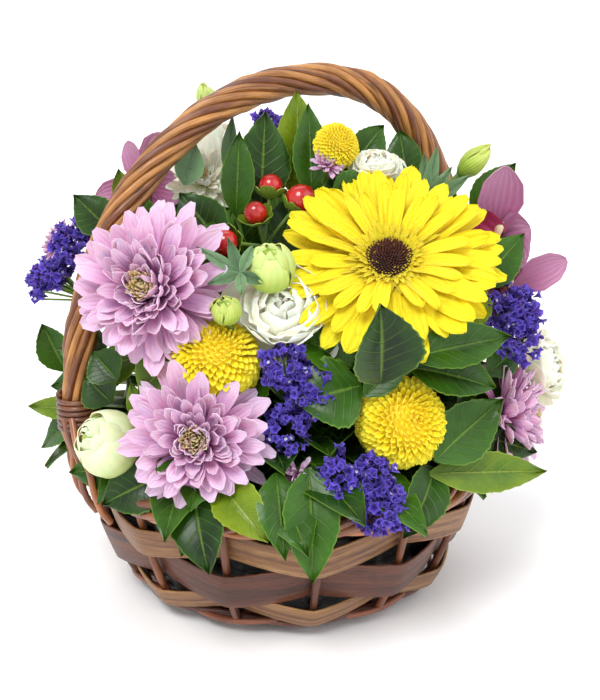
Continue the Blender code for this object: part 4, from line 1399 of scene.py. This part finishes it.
def wrapped(stock: Stock, layers: int, radius: float, tall: float, flare: float, wave: float,
            core: float) -> Array:
    """Petals rolled round one another, each over a third of the turn, the innermost nearly closed.

    Args:
        stock: the petal strip.
        layers: number of petals, the last one outermost.
        radius: radius of the outermost petal.
        tall: height as a share of the radius.
        flare: how far the rims open, 0 for a closed bud.
        wave: height of the waves along the rims.
        core: radius of the innermost petal as a share of the outermost.

    Returns:
        The points of each petal, with +Z along the bloom's axis.
    """
    u, v, s = stock.along, stock.across, stock.side
    local = []
    for i in range(layers):
        share = i / max(layers - 1, 1)
        out = core + (1 - core) * share**0.85
        shut = np.interp(u, [0, 0.12, 0.35, 0.6, 0.8, 0.92, 1.0],
                         [0.22, 0.62, 0.97, 1.0, 0.82, 0.52 + 0.08 * share, 0.04 + 0.34 * share])
        loose = np.interp(u, [0, 0.12, 0.35, 0.6, 0.82, 0.94, 1.0],
                          [0.22, 0.60, 0.90, 1.0, 1.02, 1.08, 1.16])
        mix = min(flare * (0.4 + 1.6 * share), 1.0)
        size = radius * out * (shut * (1 - mix) + loose * mix) + s * 0.0005 + 0.0004 * v
        rim = wave * (np.sin(v * 4 + i * 1.9) + 0.5 * np.sin(v * 9 + i)) * u**3
        angle = v * np.radians(84.0 - 16.0 * share) * (1 - 0.15 * u) + 0.5 * u + i * GOLDEN_ANGLE
        crest = 1.0 - 0.10 * v**2 * u - 0.14 * share * (1 - flare)
        height = radius * tall * (u * crest - 0.5) + rim
        size = size + rim * 1.4
        local.append(round_points(size, angle, height))
    return np.array(local)


@dataclass
class Bud(Flower):
    """A closed bud: petals rolled round one another, over narrow sepals."""

    finish: Petal = Petal.BUD
    slot_name: str = "green_bud"
    tall: float = 2.3
    open: float = 0.0
    layers: int = 6
    sepals: int = 5

    def make(self) -> None:
        """Builds the rolled petals, the sepals and the stem."""
        rng = np.random.default_rng(self.seed)
        r, count = self.radius, self.layers
        stock = Stock.blade(16, 12)
        local = wrapped(stock, count, r, self.tall, self.open, 0.0005, 0.52)
        core = Stock.turned([(0.05, -0.40), (0.36, -0.34), (0.48, -0.05), (0.49, 0.14), (0.42, 0.30),
                             (0.26, 0.41), (0.02, 0.47)], 20)
        round_core = round_points(core.along, core.across, core.side * self.tall)
        piece = stamp(f"{self.name}_core", core, round_core[None] * r, np.array([self.at]),
                      self.frame()[None], np.array([0.6]), self.finish.value.material(), 70.0)
        show(piece, self.slot_name)
        frames = np.broadcast_to(self.frame(), (count, 3, 3))
        origins = np.broadcast_to(np.asarray(self.at), (count, 3))
        piece = stamp(f"{self.name}_petals", stock, local, origins, frames, rng.random(count),
                      self.finish.value.material(), 70.0)
        show(piece, self.slot_name, *self.nodes())
        count = self.sepals
        back = 0.5 * self.tall
        origins, frames = self.crown(np.arange(count) * 2 * math.pi / count + 0.3, 0.18 * r, -back * r)
        shape = Blades(r * self.tall * 0.50 * rng.uniform(0.85, 1.2, count), 0.42 * r, Mum.POINT,
                       50.0 + rng.normal(0, 8, count),
                       34.0, 0.6, cup=0.35, thick=0.0005)
        self.attach("sepals", shape, (8, 2), origins, frames, rng.random(count), Petal.SEPAL, "leaf")
        STALKS.append((self.stalk((back - 0.06) * r), 0.0016))


@dataclass
class Orchid(Flower):
    """A cymbidium: five waxy tepals, a curled lip and a column."""

    turns: tuple = (90.0, 26.0, 156.0, -30.0, 224.0)
    reach: tuple = (1.0, 0.9, 0.9, 1.0, 0.94)
    lip_turn: float = -90.0
    TEPAL: ClassVar[tuple] = ((0.0, 0.30), (0.2, 0.66), (0.5, 1.0), (0.78, 0.86), (0.94, 0.45), (1.0, 0.14))
    LIP: ClassVar[tuple] = ((0.0, 0.5), (0.35, 0.8), (0.7, 1.0), (0.9, 0.8), (1.0, 0.5))

    def make(self) -> None:
        """Builds the tepals, the lip, the column and the stem."""
        rng = np.random.default_rng(self.seed)
        r = self.radius
        azimuth = np.radians(self.turns)
        origins, frames = self.crown(azimuth, 0.05 * r, 0.0)
        shape = Blades(r * np.array(self.reach), r * np.array([0.62, 0.62, 0.46, 0.56, 0.50]), self.TEPAL,
                       np.array([12.0, 4, -4, 4, 4]), np.array([26.0, 14, -6, 16, 12]), cup=0.34,
                       thick=0.0010,
                       twist=rng.normal(0, 10, 5), seed=self.seed)
        self.attach("tepals", shape, (14, 8), origins, frames, rng.random(5), Petal.ORCHID, "orchid",
                    *self.nodes())
        origins, frames = self.crown(np.radians([self.lip_turn]), 0.02 * r, 0.02 * r)
        shape = Blades(0.50 * r, 0.50 * r, self.LIP, 62.0, -110.0, 1.4, cup=0.8, thick=0.0009,
                       ruffle=0.05 * r, seed=self.seed)
        self.attach("lip", shape, (14, 8), origins, frames, np.array([0.7]), Petal.ORCHID_LIP, "orchid")
        origins, frames = self.crown(np.radians([90.0]), 0.0, 0.0)
        shape = Blades(0.34 * r, 0.15 * r, ((0, 0.8), (0.6, 0.8), (0.9, 1.0), (1.0, 0.6)), 78.0, -52.0,
                       cup=-0.8, thick=0.0026)
        self.attach("column", shape, (14, 8), origins, frames, np.array([0.8]), Petal.COLUMN, "orchid")
        STALKS.append((self.stalk(0.01), 0.0020))


@dataclass
class Statice(Flower):
    """A statice spray: heads of small papery funnels with a few white florets, on a forked stalk."""

    heads: tuple = ()
    funnels: int = 250

    def head_places(self, rng: np.random.Generator) -> Array:
        """Middles of the heads: the given ones, or four scattered in the spray."""
        if self.heads:
            return np.array(self.heads, dtype=float)
        a, b, f = self.axes()
        turn = np.arange(4) * 2 * math.pi / 4 + rng.uniform(-0.4, 0.4, 4)
        spread = self.radius * rng.uniform(0.42, 0.62, 4)
        lift = self.radius * rng.uniform(-0.20, 0.30, 4)
        sideways = np.cos(turn)[:, None] * a + np.sin(turn)[:, None] * b
        return np.asarray(self.at) + sideways * spread[:, None] + f * lift[:, None]

    def make(self) -> None:
        """Builds the funnels, the white florets and the stalks."""
        rng = np.random.default_rng(self.seed)
        count, r = self.funnels, self.radius
        a, b, f = self.axes()
        way = unit(rng.normal(size=(count * 3, 3)))
        way = way[way @ f > -0.45][:count]
        count = len(way)
        depth = rng.uniform(0.45, 1.0, count) ** 0.6
        middles = self.head_places(rng)
        squash = 0.60 * (1.0 + 0.25 * np.sin(way @ a * 5 + 1) * np.cos(way @ b * 6))
        origins = middles[np.arange(count) % len(middles)] + way * (r * depth * squash)[:, None]
        normal = unit(way + rng.normal(0, 0.55, (count, 3)) + f * 0.35)
        first = unit(np.cross(normal, rng.normal(size=(count, 3))))
        frames = np.stack([first, np.cross(normal, first), normal], axis=-1)
        cup = Stock.turned([(0.10, -1.6), (0.34, -0.7), (0.62, -0.1), (1.0, 0.28), (0.96, 0.34),
                            (0.50, 0.02), (0.06, -0.5)], 10)
        scale = rng.uniform(0.0016, 0.0030, count)
        lobed = cup.along * (1 + 0.20 * np.cos(cup.across * 5) * (cup.along > 0.5))
        frill = cup.side + 0.45 * np.cos(cup.across * 3 + 1.0) * (cup.along > 0.9)
        local = round_points(lobed, cup.across, frill)[None] * scale[:, None, None]
        # Funnels deep in a head get lower tones and come out darker: painted shade inside the heads, over a
        # random tone.
        tones = np.clip(depth * 1.1 - 0.2 + rng.normal(0, 0.25, count), 0, 1)
        piece = stamp(f"{self.name}_funnels", cup, local, origins, frames, tones,
                      Petal.STATICE.value.material())
        show(piece, "statice", *self.nodes())
        some = rng.random(count) < 0.10
        bit = Stock.turned([(0.05, -0.4), (0.45, 0.1), (0.75, 0.45), (0.30, 0.40), (0.03, 0.2)], 5)
        local = round_points(bit.along, bit.across, bit.side)[None] * 0.0013
        local = np.broadcast_to(local, (int(some.sum()),) + local.shape[1:])
        piece = stamp(f"{self.name}_florets", bit, local, origins[some] + normal[some] * 0.0004,
                      frames[some],
                      rng.random(int(some.sum())), Petal.STATICE_EYE.value.material())
        show(piece, "statice")
        base = np.asarray(self.at) - f * r * 1.1
        for end in origins[:: max(count // 16, 1)]:
            STALKS.append((np.linspace(base, end * 0.96 + base * 0.04, 4), 0.0006))
        STALKS.append((self.stalk(r * 1.1), 0.0015))


@dataclass
class Hypericum:
    """A forked sprig of red berries, each on small green bracts."""

    berries: tuple = (
        ((-0.044, -0.031, 0.200), 0.0066),
        ((-0.023, -0.018, 0.211), 0.0062),
        ((-0.010, -0.006, 0.222), 0.0066),
        ((0.002, -0.018, 0.216), 0.0085),
    )
    fork: tuple = (-0.016, -0.012, 0.192)

    def make(self) -> None:
        """Builds the berries, their bracts and the stalks."""
        profile = [(0.02, -1.0), (0.45, -0.92), (0.80, -0.60), (0.98, -0.10), (0.92, 0.35), (0.66, 0.74),
                   (0.34, 0.94), (0.12, 0.98), (0.02, 1.06)]
        berry = Stock.turned(profile, 24)
        local, origins, frames = [], [], []
        fork = np.asarray(self.fork)
        for at, radius in self.berries:
            way = unit(np.asarray(at) - fork)
            first = unit(np.cross(way, [0.3, 1.0, 0.2]))
            origins.append(at)
            frames.append(np.stack([first, np.cross(way, first), way], axis=-1))
            local.append(round_points(berry.along, berry.across, berry.side) * radius)
        berry.along = (berry.side + 1) / 2.3
        piece = stamp("hypericum_berries", berry, np.array(local), np.array(origins), np.array(frames),
                      np.array([0.2, 0.5, 0.7, 0.9]), berry_material(), 70.0)
        show(piece, "berry", "hypericum")
        self.make_bracts(np.array(origins), np.array(frames))
        for at, _ in self.berries:
            STALKS.append((np.linspace(fork, np.asarray(at), 5), 0.0010))
        STALKS.append((np.linspace(np.array([0, 0, 0.06]), fork, 6), 0.0016))

    def make_bracts(self, origins: Array, frames: Array) -> None:
        """Five oval bracts under each berry."""
        stock = Stock.blade(6, 4)
        local, places, turned = [], [], []
        for at, axes, (_, radius) in zip(origins, frames, self.berries):
            for k in range(5):
                t = k * 2 * math.pi / 5
                radial = axes[:, 0] * math.cos(t) + axes[:, 1] * math.sin(t)
                turned.append(np.stack([radial, np.cross(axes[:, 2], radial), axes[:, 2]], axis=-1))
                places.append(at - axes[:, 2] * radius * 1.02)
        count = len(places)
        shape = Blades(0.0115, 0.0085, Lisianthus.BROAD, 8.0, 46.0, cup=0.3, thick=0.0005)
        local = shape.points(stock, count)
        piece = stamp("hypericum_bracts", stock, local, np.array(places), np.array(turned),
                      np.linspace(0, 1, count),
                      Leafage.LIGHT.value.material())
        show(piece, "leaf")


# ---------------------------------------------------------------- leaves


@dataclass
class Leaves:
    """Glossy leaves with one finish: each has a stalk end, a tip, the way its face looks, and a width."""

    name: str
    finish: Leafage
    nodes: tuple = ()
    items: list = field(default_factory=list)
    seed: int = 11
    rows: int = 16
    cols: int = 6
    teeth: float = 0.0
    outline: tuple = ((0.0, 0.05), (0.06, 0.30), (0.20, 0.76), (0.38, 1.0), (0.55, 0.94), (0.73, 0.66),
                      (0.87, 0.34), (0.95, 0.13), (1.0, 0.015))

    def add(self, base: tuple, tip: tuple, width: float, bend: float = 20.0,
            face: "tuple | None" = None) -> None:
        """Adds one leaf.

        Args:
            base: its stalk end.
            tip: its tip.
            width: its full width.
            bend: how far its tip droops, in degrees; negative curls up.
            face: the way its upper face looks; by default away from the middle of the arrangement.
        """
        if face is None:
            middle = (np.asarray(base) + np.asarray(tip)) / 2
            face = unit(middle - np.array([0.0, 0.03, 0.09])) + np.array([-0.15, -0.35, 0.55])
        self.items.append((base, tip, tuple(face), width, bend))

    def make(self) -> None:
        """Builds all the leaves as one piece."""
        rng = np.random.default_rng(self.seed)
        base, tip, face = (np.array([item[i] for item in self.items], dtype=float) for i in range(3))
        width, bend = (np.array([item[i] for item in self.items], dtype=float) for i in (3, 4))
        count = len(width)
        chord = tip - base
        reach = np.linalg.norm(chord, axis=1)
        forward = chord / reach[:, None]
        up = unit(face - forward * np.sum(face * forward, axis=1, keepdims=True))
        frames = np.stack([forward, np.cross(up, forward), up], axis=-1)
        half_turn = np.radians(np.abs(bend)) / 2 + 1e-6
        length = reach * half_turn / np.sin(half_turn)
        shape = Blades(length, width, self.outline, bend / 2, -bend, fold=rng.uniform(0.15, 0.60, count),
                       cup=rng.uniform(-0.30, 0.05, count), thick=0.00042, ruffle=0.0013, ruffle_waves=2.2,
                       teeth=self.teeth,
                       tooth_count=self.rows / 2, twist=rng.normal(0, 10, count), seed=self.seed)
        stock = Stock.blade(self.rows, self.cols)
        piece = stamp(self.name, stock, shape.points(stock, count), base, frames, rng.random(count),
                      self.finish.value.material())
        show(piece, "leaf", *self.nodes)


def collar_leaves() -> Leaves:
    """Leaves that lie over the rim all round, in two uneven rings."""
    rng = np.random.default_rng(21)
    leaves = Leaves("collar_leaves", Leafage.DARK, tuple(f"leaves_collar_{i}" for i in range(1, 9)),
                    rows=28, teeth=0.04)
    for ring, (count, near, far, low, high) in enumerate(((24, 0.074, 0.131, 0.088, 0.084),
                                                          (22, 0.062, 0.118, 0.094, 0.108))):
        for i in range(count):
            heading = 2 * math.pi * (i + 0.5 * ring + rng.uniform(-0.3, 0.3)) / count
            if ring == 0 and abs(math.sin(heading)) < 0.16:
                continue
            swing = heading + rng.uniform(-0.25, 0.25)
            base = (near * math.cos(heading), near * math.sin(heading), low)
            reach = far + rng.uniform(-0.010, 0.010)
            tip = (reach * math.cos(swing), reach * math.sin(swing), high + rng.uniform(-0.014, 0.006))
            face = (0.45 * math.cos(heading), 0.45 * math.sin(heading), 1.0)
            leaves.add(base, tip, rng.uniform(0.026, 0.034), rng.uniform(40, 66) - 26 * ring, face)
    return leaves


def inner_leaves() -> Leaves:
    """Leaves all through the arrangement, behind the blooms, so that no foam shows."""
    rng = np.random.default_rng(33)
    leaves = Leaves("inner_leaves", Leafage.DARK, ("leaves_left", "leaves_right"), seed=12)
    count = 150
    centre, size = np.array([0.0, 0.0, 0.075]), np.array([0.104, 0.098, 0.128])
    for i in range(count):
        rise = math.asin(0.10 + 0.86 * (i + 0.5) / count)
        heading = i * GOLDEN_ANGLE
        way = np.array([math.cos(heading) * math.cos(rise), math.sin(heading) * math.cos(rise),
                        math.sin(rise)])
        front = max(0.0, -way[1] * 0.93 - way[0] * 0.37)
        tip = centre + way * size * (rng.uniform(0.86, 1.02) - 0.16 * front)
        base = centre + way * size * 0.40 + rng.normal(0, 0.022, 3)
        face = way * 0.9 + np.array([math.cos(heading), math.sin(heading), 0.0]) * 0.5 + rng.normal(0, 0.35,
            3)
        leaves.add(tuple(base), tuple(tip), rng.uniform(0.024, 0.036), rng.uniform(6, 34), tuple(face))
    centre, size = np.array([0.006, 0.006, 0.085]), np.array([0.098, 0.074, 0.132])
    for i in range(84):
        rise = math.radians(22.0 + 54.0 * ((i * 0.618) % 1.0))
        heading = math.radians(rng.uniform(-12.0, 192.0))
        way = np.array([math.cos(heading) * math.cos(rise), math.sin(heading) * math.cos(rise),
                        math.sin(rise)])
        tip = centre + way * size * rng.uniform(0.86, 1.04)
        base = centre + way * size * 0.52 + rng.normal(0, 0.012, 3)
        face = np.array([math.cos(heading), math.sin(heading), 0.35]) + rng.normal(0, 0.30, 3)
        leaves.add(tuple(base), tuple(tip), rng.uniform(0.024, 0.034), rng.uniform(6, 30), tuple(face))
    return leaves


def chosen_leaves() -> list[Leaves]:
    """The leaves that stand out, each with its own stalk end, tip and width."""
    broad = Leaves("broad_leaves", Leafage.DARK, ("leaves_top",), seed=14, rows=44, cols=8, teeth=0.045)
    upright = (-0.35, -0.9, 0.25)
    for i in range(9):
        x = -0.056 + 0.014 * i
        broad.add((x * 0.6, 0.034, 0.150 + 0.006 * (i % 3)),
                  (x + 0.006 * (i % 2), 0.066 - 0.004 * (i % 3), 0.206 + 0.008 * ((i * 2) % 3)),
                  0.028, 18.0, (0.2 * (i % 3 - 1), 1.0, 0.4))
    for base, tip, width in (
        ((-0.041, -0.016, 0.195), (-0.058, 0.000, 0.221), 0.027),
        ((-0.028, -0.002, 0.207), (-0.023, 0.005, 0.250), 0.018),
        ((-0.012, 0.003, 0.210), (-0.007, 0.009, 0.259), 0.031),
        ((0.014, -0.006, 0.215), (0.015, 0.003, 0.263), 0.020),
        ((0.039, -0.003, 0.230), (0.058, 0.000, 0.250), 0.020),
        ((0.066, -0.014, 0.222), (0.065, -0.005, 0.248), 0.020),
        ((0.018, -0.022, 0.219), (0.040, -0.026, 0.226), 0.018),
        ((0.097, -0.030, 0.205), (0.121, -0.034, 0.231), 0.020),
        ((0.084, -0.062, 0.172), (0.110, -0.064, 0.199), 0.023),
        ((-0.030, 0.044, 0.185), (-0.036, 0.054, 0.226), 0.026),
        ((-0.018, 0.020, 0.190), (-0.010, 0.032, 0.238), 0.026),
        ((0.040, 0.012, 0.200), (0.046, 0.020, 0.240), 0.026),
        ((0.060, 0.010, 0.195), (0.074, 0.014, 0.234), 0.024),
        ((0.092, 0.006, 0.170), (0.112, 0.006, 0.206), 0.024),
        ((-0.104, -0.021, 0.119), (-0.115, -0.010, 0.132), 0.022),
        ((-0.101, -0.024, 0.132), (-0.110, -0.009, 0.144), 0.022),
        ((-0.087, 0.029, 0.197), (-0.104, 0.042, 0.216), 0.023),
        ((-0.064, 0.037, 0.190), (-0.070, 0.048, 0.215), 0.020),
        ((0.024, -0.020, 0.205), (0.029, -0.012, 0.232), 0.022),
        ((0.081, -0.026, 0.188), (0.090, -0.021, 0.218), 0.020),
        ((-0.004, -0.009, 0.192), (0.006, -0.002, 0.217), 0.022),
        ((-0.112, 0.051, 0.115), (-0.121, 0.066, 0.140), 0.020),
    ):
        broad.add(base, tip, width, 16.0, upright)
    for base, tip, width, bend in (
        ((0.006, -0.108, 0.143), (0.002, -0.113, 0.184), 0.038, 14),
        ((0.002, -0.083, 0.144), (-0.018, -0.066, 0.157), 0.028, 22),
        ((0.021, -0.106, 0.153), (0.079, -0.104, 0.157), 0.024, 18),
        ((0.026, -0.099, 0.146), (0.067, -0.112, 0.134), 0.029, 24),
        ((0.003, -0.094, 0.138), (-0.029, -0.089, 0.131), 0.038, 24),
        ((0.001, -0.100, 0.134), (0.027, -0.101, 0.157), 0.017, -24),
        ((0.034, -0.114, 0.101), (0.077, -0.105, 0.125), 0.030, -22),
        ((0.040, -0.102, 0.092), (0.011, -0.127, 0.069), 0.024, 44),
        ((-0.028, -0.101, 0.102), (-0.036, -0.125, 0.053), 0.028, 40),
        ((-0.043, -0.096, 0.100), (-0.048, -0.120, 0.065), 0.023, 44),
        ((-0.077, -0.072, 0.090), (-0.080, -0.103, 0.056), 0.030, 46),
        ((-0.087, -0.054, 0.089), (-0.117, -0.045, 0.074), 0.028, 40),
        ((-0.088, -0.001, 0.127), (-0.125, 0.029, 0.115), 0.027, 22),
        ((-0.109, 0.025, 0.098), (-0.130, 0.044, 0.074), 0.019, 20),
        ((-0.092, -0.034, 0.087), (-0.126, -0.012, 0.080), 0.024, 36),
        ((-0.073, -0.077, 0.086), (-0.090, -0.090, 0.061), 0.024, 46),
        ((-0.117, 0.042, 0.090), (-0.107, 0.030, 0.119), 0.020, 20),
        ((-0.063, -0.022, 0.185), (-0.044, -0.014, 0.207), 0.022, 18),
        ((-0.015, -0.059, 0.136), (-0.027, -0.045, 0.156), 0.023, 18),
        ((-0.047, -0.067, 0.126), (-0.036, -0.061, 0.141), 0.019, 20),
        ((-0.097, 0.007, 0.142), (-0.120, 0.031, 0.134), 0.022, 22),
        ((0.084, -0.077, 0.128), (0.109, -0.071, 0.144), 0.020, 20),
        ((0.074, -0.068, 0.106), (0.104, -0.062, 0.128), 0.032, 20),
        ((0.070, -0.086, 0.100), (0.108, -0.092, 0.086), 0.022, 24),
    ):
        broad.add(base, tip, width, bend)
    pale = Leaves("pale_leaves", Leafage.LIGHT, (), seed=15, rows=44, cols=8, teeth=0.045)
    pale.add((0.011, 0.004, 0.212), (0.012, 0.012, 0.269), 0.029, 12, upright)
    pale.add((-0.073, 0.052, 0.206), (-0.075, 0.058, 0.226), 0.012, 10, upright)
    for base, tip, width, bend in (
        ((0.082, -0.070, 0.176), (0.060, -0.078, 0.151), 0.023, 24),
        ((0.034, -0.108, 0.092), (0.104, -0.108, 0.082), 0.022, 26),
        ((-0.066, -0.082, 0.092), (-0.054, -0.114, 0.073), 0.024, 44),
        ((-0.086, -0.015, 0.140), (-0.109, 0.003, 0.129), 0.023, 20),
        ((-0.072, -0.036, 0.145), (-0.093, -0.034, 0.126), 0.027, 20),
        ((-0.106, 0.018, 0.102), (-0.135, 0.048, 0.098), 0.014, 18),
        ((-0.091, -0.032, 0.110), (-0.095, -0.026, 0.131), 0.011, 10),
    ):
        pale.add(base, tip, width, bend)
    slender = Leaves("slender_leaves", Leafage.GREY, (), seed=16, rows=12, cols=4)
    slender.add((-0.049, 0.020, 0.221), (-0.041, 0.023, 0.242), 0.016, 14, upright)
    slender.add((-0.024, 0.022, 0.224), (-0.018, 0.029, 0.256), 0.009, 8, upright)
    for tip in ((-0.064, -0.044, 0.202), (-0.050, -0.051, 0.207), (-0.039, -0.057, 0.204),
                (-0.063, -0.056, 0.186),
                (-0.037, -0.066, 0.186), (-0.049, -0.068, 0.181)):
        slender.add((-0.047, -0.060, 0.191), tip, 0.0060, 18, upright)
    for tip in ((0.073, -0.034, 0.243), (0.067, -0.031, 0.239), (0.079, -0.039, 0.232),
                (0.054, -0.031, 0.234),
                (0.090, -0.039, 0.227), (0.074, -0.043, 0.229)):
        slender.add((0.064, -0.038, 0.211), tip, 0.0080, 10, upright)
    return [broad, pale, slender]


# ---------------------------------------------------------------- studio


def make_studio() -> None:
    """A pale floor, soft lights, a near-white world and the camera."""
    bpy.ops.mesh.primitive_plane_add(size=40.0, location=(0.0, 0.0, -0.0004))
    floor = bpy.context.object
    floor.name = "studio_floor"
    floor.data.materials.append(floor_material())
    make_air()
    for name, heading, pitch, strength, spread in (("key_sun", -140, 55, 2.1, 28),
                                                   ("fill_sun", -50, 40, 0.7, 50),
                                                   ("back_sun", 80, 50, 0.8, 50)):
        lamp = bpy.data.lights.new(name, "SUN")
        lamp.energy, lamp.angle = strength, math.radians(spread)
        holder = bpy.data.objects.new(name, lamp)
        bpy.context.collection.objects.link(holder)
        aim(holder, np.array([0.0, 0.0, 0.12]), heading, pitch, 1.3)
    lens = bpy.data.cameras.new("camera")
    lens.lens, lens.sensor_width = 61.84, 36.0
    lens.shift_x, lens.shift_y = 0.0229, 0.0714
    lens.clip_start = 0.01
    camera = bpy.data.objects.new("camera", lens)
    bpy.context.collection.objects.link(camera)
    aim(camera, np.array([0.0, 0.0, 0.100]), -112.0, 19.5, 0.680)
    bpy.context.scene.camera = camera
    bpy.context.scene.view_settings.view_transform = "Standard"


def make_air() -> None:
    """White air that is brightest near the horizon, so that the floor fades into it, and softer overhead."""
    world = bpy.data.worlds.new("studio_air")
    world.use_nodes = True
    tree = world.node_tree
    way = tree.nodes.new("ShaderNodeTexCoord")
    parts = tree.nodes.new("ShaderNodeSeparateXYZ")
    fade = tree.nodes.new("ShaderNodeMapRange")
    for place, value in ((1, 0.30), (2, 0.75), (3, 1.05), (4, 0.62)):
        fade.inputs[place].default_value = value
    air = tree.nodes["Background"]
    air.inputs["Color"].default_value = (1.0, 1.0, 1.0, 1.0)
    tree.links.new(way.outputs["Generated"], parts.inputs[0])
    tree.links.new(parts.outputs["Z"], fade.inputs[0])
    tree.links.new(fade.outputs[0], air.inputs["Strength"])
    bpy.context.scene.world = world


def aim(obj: bpy.types.Object, target: Array, heading: float, pitch: float, distance: float) -> None:
    """Places a light or the camera on a sphere round a target and turns it to look there."""
    back = direction(heading, pitch)
    right = unit(np.cross([0.0, 0.0, 1.0], back))
    up = np.cross(back, right)
    place = target + back * distance
    rows = [[right[i], up[i], back[i], place[i]] for i in range(3)] + [[0.0, 0.0, 0.0, 1.0]]
    obj.matrix_world = [list(map(float, column_)) for column_ in zip(*rows)]


def flowers() -> list[Flower]:
    """Every bloom, with its place, heading, pitch and radius."""
    return [
        Gerbera("gerbera", (0.0290, -0.0680, 0.1915), -116, 47, 0.0560, None, 2),
        Mum("mum_left", (-0.0865, -0.0370, 0.181), -124, 24, 0.0390, "mum_left", 3),
        Mum("mum_front", (-0.0760, -0.0755, 0.114), -114, 24, 0.0360, "mum_front", 4),
        Mum("mum_right", (0.1045, -0.0752, 0.1015), -44, 14, 0.0320, "mum_right", 5),
        Mum("mum_back", (0.020, 0.100, 0.146), 80, 28, 0.0380, "mum_back", 6),
        Mum("mum_rear", (0.060, 0.070, 0.180), 62, 38, 0.0270, None, 37, 0, 110),
        Mum("mum_white", (-0.0350, 0.0290, 0.2220), -120, 46, 0.0200, "mum_white", 7, 0, 96, Petal.WHITE,
            "white_petal"),
        Mum("mum_tiny_top", (0.0180, -0.0170, 0.2340), -100, 50, 0.0095, None, 31, 0, 40),
        Mum("mum_tiny_front", (-0.032, -0.099, 0.097), -100, 10, 0.0100, None, 32, 0, 34),
        Mum("mum_far_left", (-0.109, 0.066, 0.186), 160, 30, 0.0150, None, 33, 0, 60),
        Button("button_front", (0.0235, -0.1040, 0.120), -84, 24, 0.0226, "button_front", 8),
        Button("button_middle", (-0.0600, -0.0590, 0.1525), -118, 70, 0.0220, "button_middle", 9),
        Button("button_top", (0.0265, -0.0130, 0.2435), -70, 34, 0.0122, "button_top", 10),
        Button("button_back", (-0.058, 0.092, 0.140), 122, 30, 0.0215, "button_back", 11),
        Lisianthus("lisianthus_centre", (-0.0230, -0.0580, 0.168), -116, 40, 0.0290, "lisianthus_centre",
                   12),
        Lisianthus("lisianthus_right", (0.1350, -0.0489, 0.1190), -50, 22, 0.0230, "lisianthus_right", 13),
        Lisianthus("lisianthus_top", (0.080, 0.052, 0.216), 35, 52, 0.0230, "lisianthus_top", 14),
        Lisianthus("lisianthus_inner", (0.0440, -0.0200, 0.2300), -112, 66, 0.0150, None, 15),
        Bud("lisianthus_tall", (-0.018, 0.061, 0.230), -140, 78, 0.0135, None, 34, 0, Petal.WHITE,
            "white_petal", 3.0, 0.30, 7),
        Bud("bud_large", (-0.0310, -0.0580, 0.192), -115, 56, 0.0128, "bud_large", 16, 0, Petal.BUD,
            "green_bud", 2.2, 0.10, 9),
        Bud("bud_small", (-0.0560, -0.0640, 0.174), -130, 60, 0.0080, "bud_small", 17, 0, Petal.LIME,
            "green_bud", 1.8, 0.15, 7),
        Bud("bud_tall", (0.098, -0.030, 0.233), -22, 44, 0.0068, "bud_tall", 18, 0, Petal.LIME, "green_bud",
            3.4, 0.0),
        Bud("bud_handle", (-0.014, 0.087, 0.260), -150, 70, 0.0055, None, 35, 0, Petal.BUD, "green_bud",
            3.0, 0.0),
        Bud("rosebud_cream", (-0.1110, -0.0370, 0.103), -160, 34, 0.0178, "rosebud_cream", 19, 0,
            Petal.CREAM, "white_petal", 1.85, 0.20, 12),
        Orchid("orchid_right", (0.0975, -0.0550, 0.1955), -108, 10, 0.0390, "orchid_right", 20, -4,
               (92.0, 20.0, 156.0, -40.0, 224.0),
               (1.0, 0.45, 0.8, 0.5, 0.9), 155.0),
        Orchid("orchid_low", (0.1090, -0.0494, 0.1650), -92, 10, 0.0310, None, 36, 0,
               (96.0, 22.0, 160.0, -75.0, 220.0),
               (0.7, 1.2, 0.8, 0.7, 0.7)),
        Orchid("orchid_left", (-0.056, 0.068, 0.214), -140, 16, 0.0330, "orchid_left", 21, -26),
        Statice("statice_left", (-0.110, 0.056, 0.172), 152, 48, 0.0200, "statice_left", 22, 0,
                ((-0.117, 0.062, 0.166), (-0.104, 0.053, 0.188), (-0.109, 0.050, 0.175))),
        Statice("statice_centre", (-0.028, -0.082, 0.134), -108, 40, 0.0200, "statice_centre", 23, 0,
                ((-0.032, -0.077, 0.147), (-0.020, -0.084, 0.135), (-0.033, -0.085, 0.117))),
        Statice("statice_front", (-0.003, -0.112, 0.094), -92, 16, 0.0215, "statice_front", 24, 0,
                ((-0.012, -0.109, 0.099), (0.000, -0.113, 0.094), (0.001, -0.121, 0.083))),
        Statice("statice_right", (0.098, -0.076, 0.154), -45, 42, 0.0220, "statice_right", 25, 0,
                ((0.088, -0.074, 0.159), (0.103, -0.073, 0.161), (0.097, -0.080, 0.147))),
        Statice("statice_back", (0.085, 0.084, 0.128), 45, 32, 0.0240, "statice_back", 26),
        Statice("statice_top", (0.016, 0.056, 0.246), -100, 60, 0.0120, None, 37, 0,
                ((0.013, 0.059, 0.247), (0.020, 0.052, 0.244)), 60),
    ]


def main() -> None:
    """Builds the studio, the basket, the flowers and the leaves."""
    bpy.ops.object.select_all(action="DESELECT")
    make_studio()
    Basket().make()
    Handle().make()
    for flower in flowers():
        flower.make()
    Hypericum().make()
    for leaves in [collar_leaves(), inner_leaves(), *chosen_leaves()]:
        leaves.make()
    paths = [path for path, _ in STALKS]
    radii = [radius for _, radius in STALKS]
    show(rods("stems", paths, radii, 8, stem_material(), side=(0.05, 1.0, 0.1)), "leaf")


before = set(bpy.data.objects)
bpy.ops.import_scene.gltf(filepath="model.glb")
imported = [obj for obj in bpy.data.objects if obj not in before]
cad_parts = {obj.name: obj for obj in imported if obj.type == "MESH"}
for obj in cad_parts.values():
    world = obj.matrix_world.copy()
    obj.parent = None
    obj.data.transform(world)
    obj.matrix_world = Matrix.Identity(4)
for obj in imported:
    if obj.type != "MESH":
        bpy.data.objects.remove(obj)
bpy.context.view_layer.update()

if __name__ == "__main__":
    logging.basicConfig(level=logging.INFO)
    main()
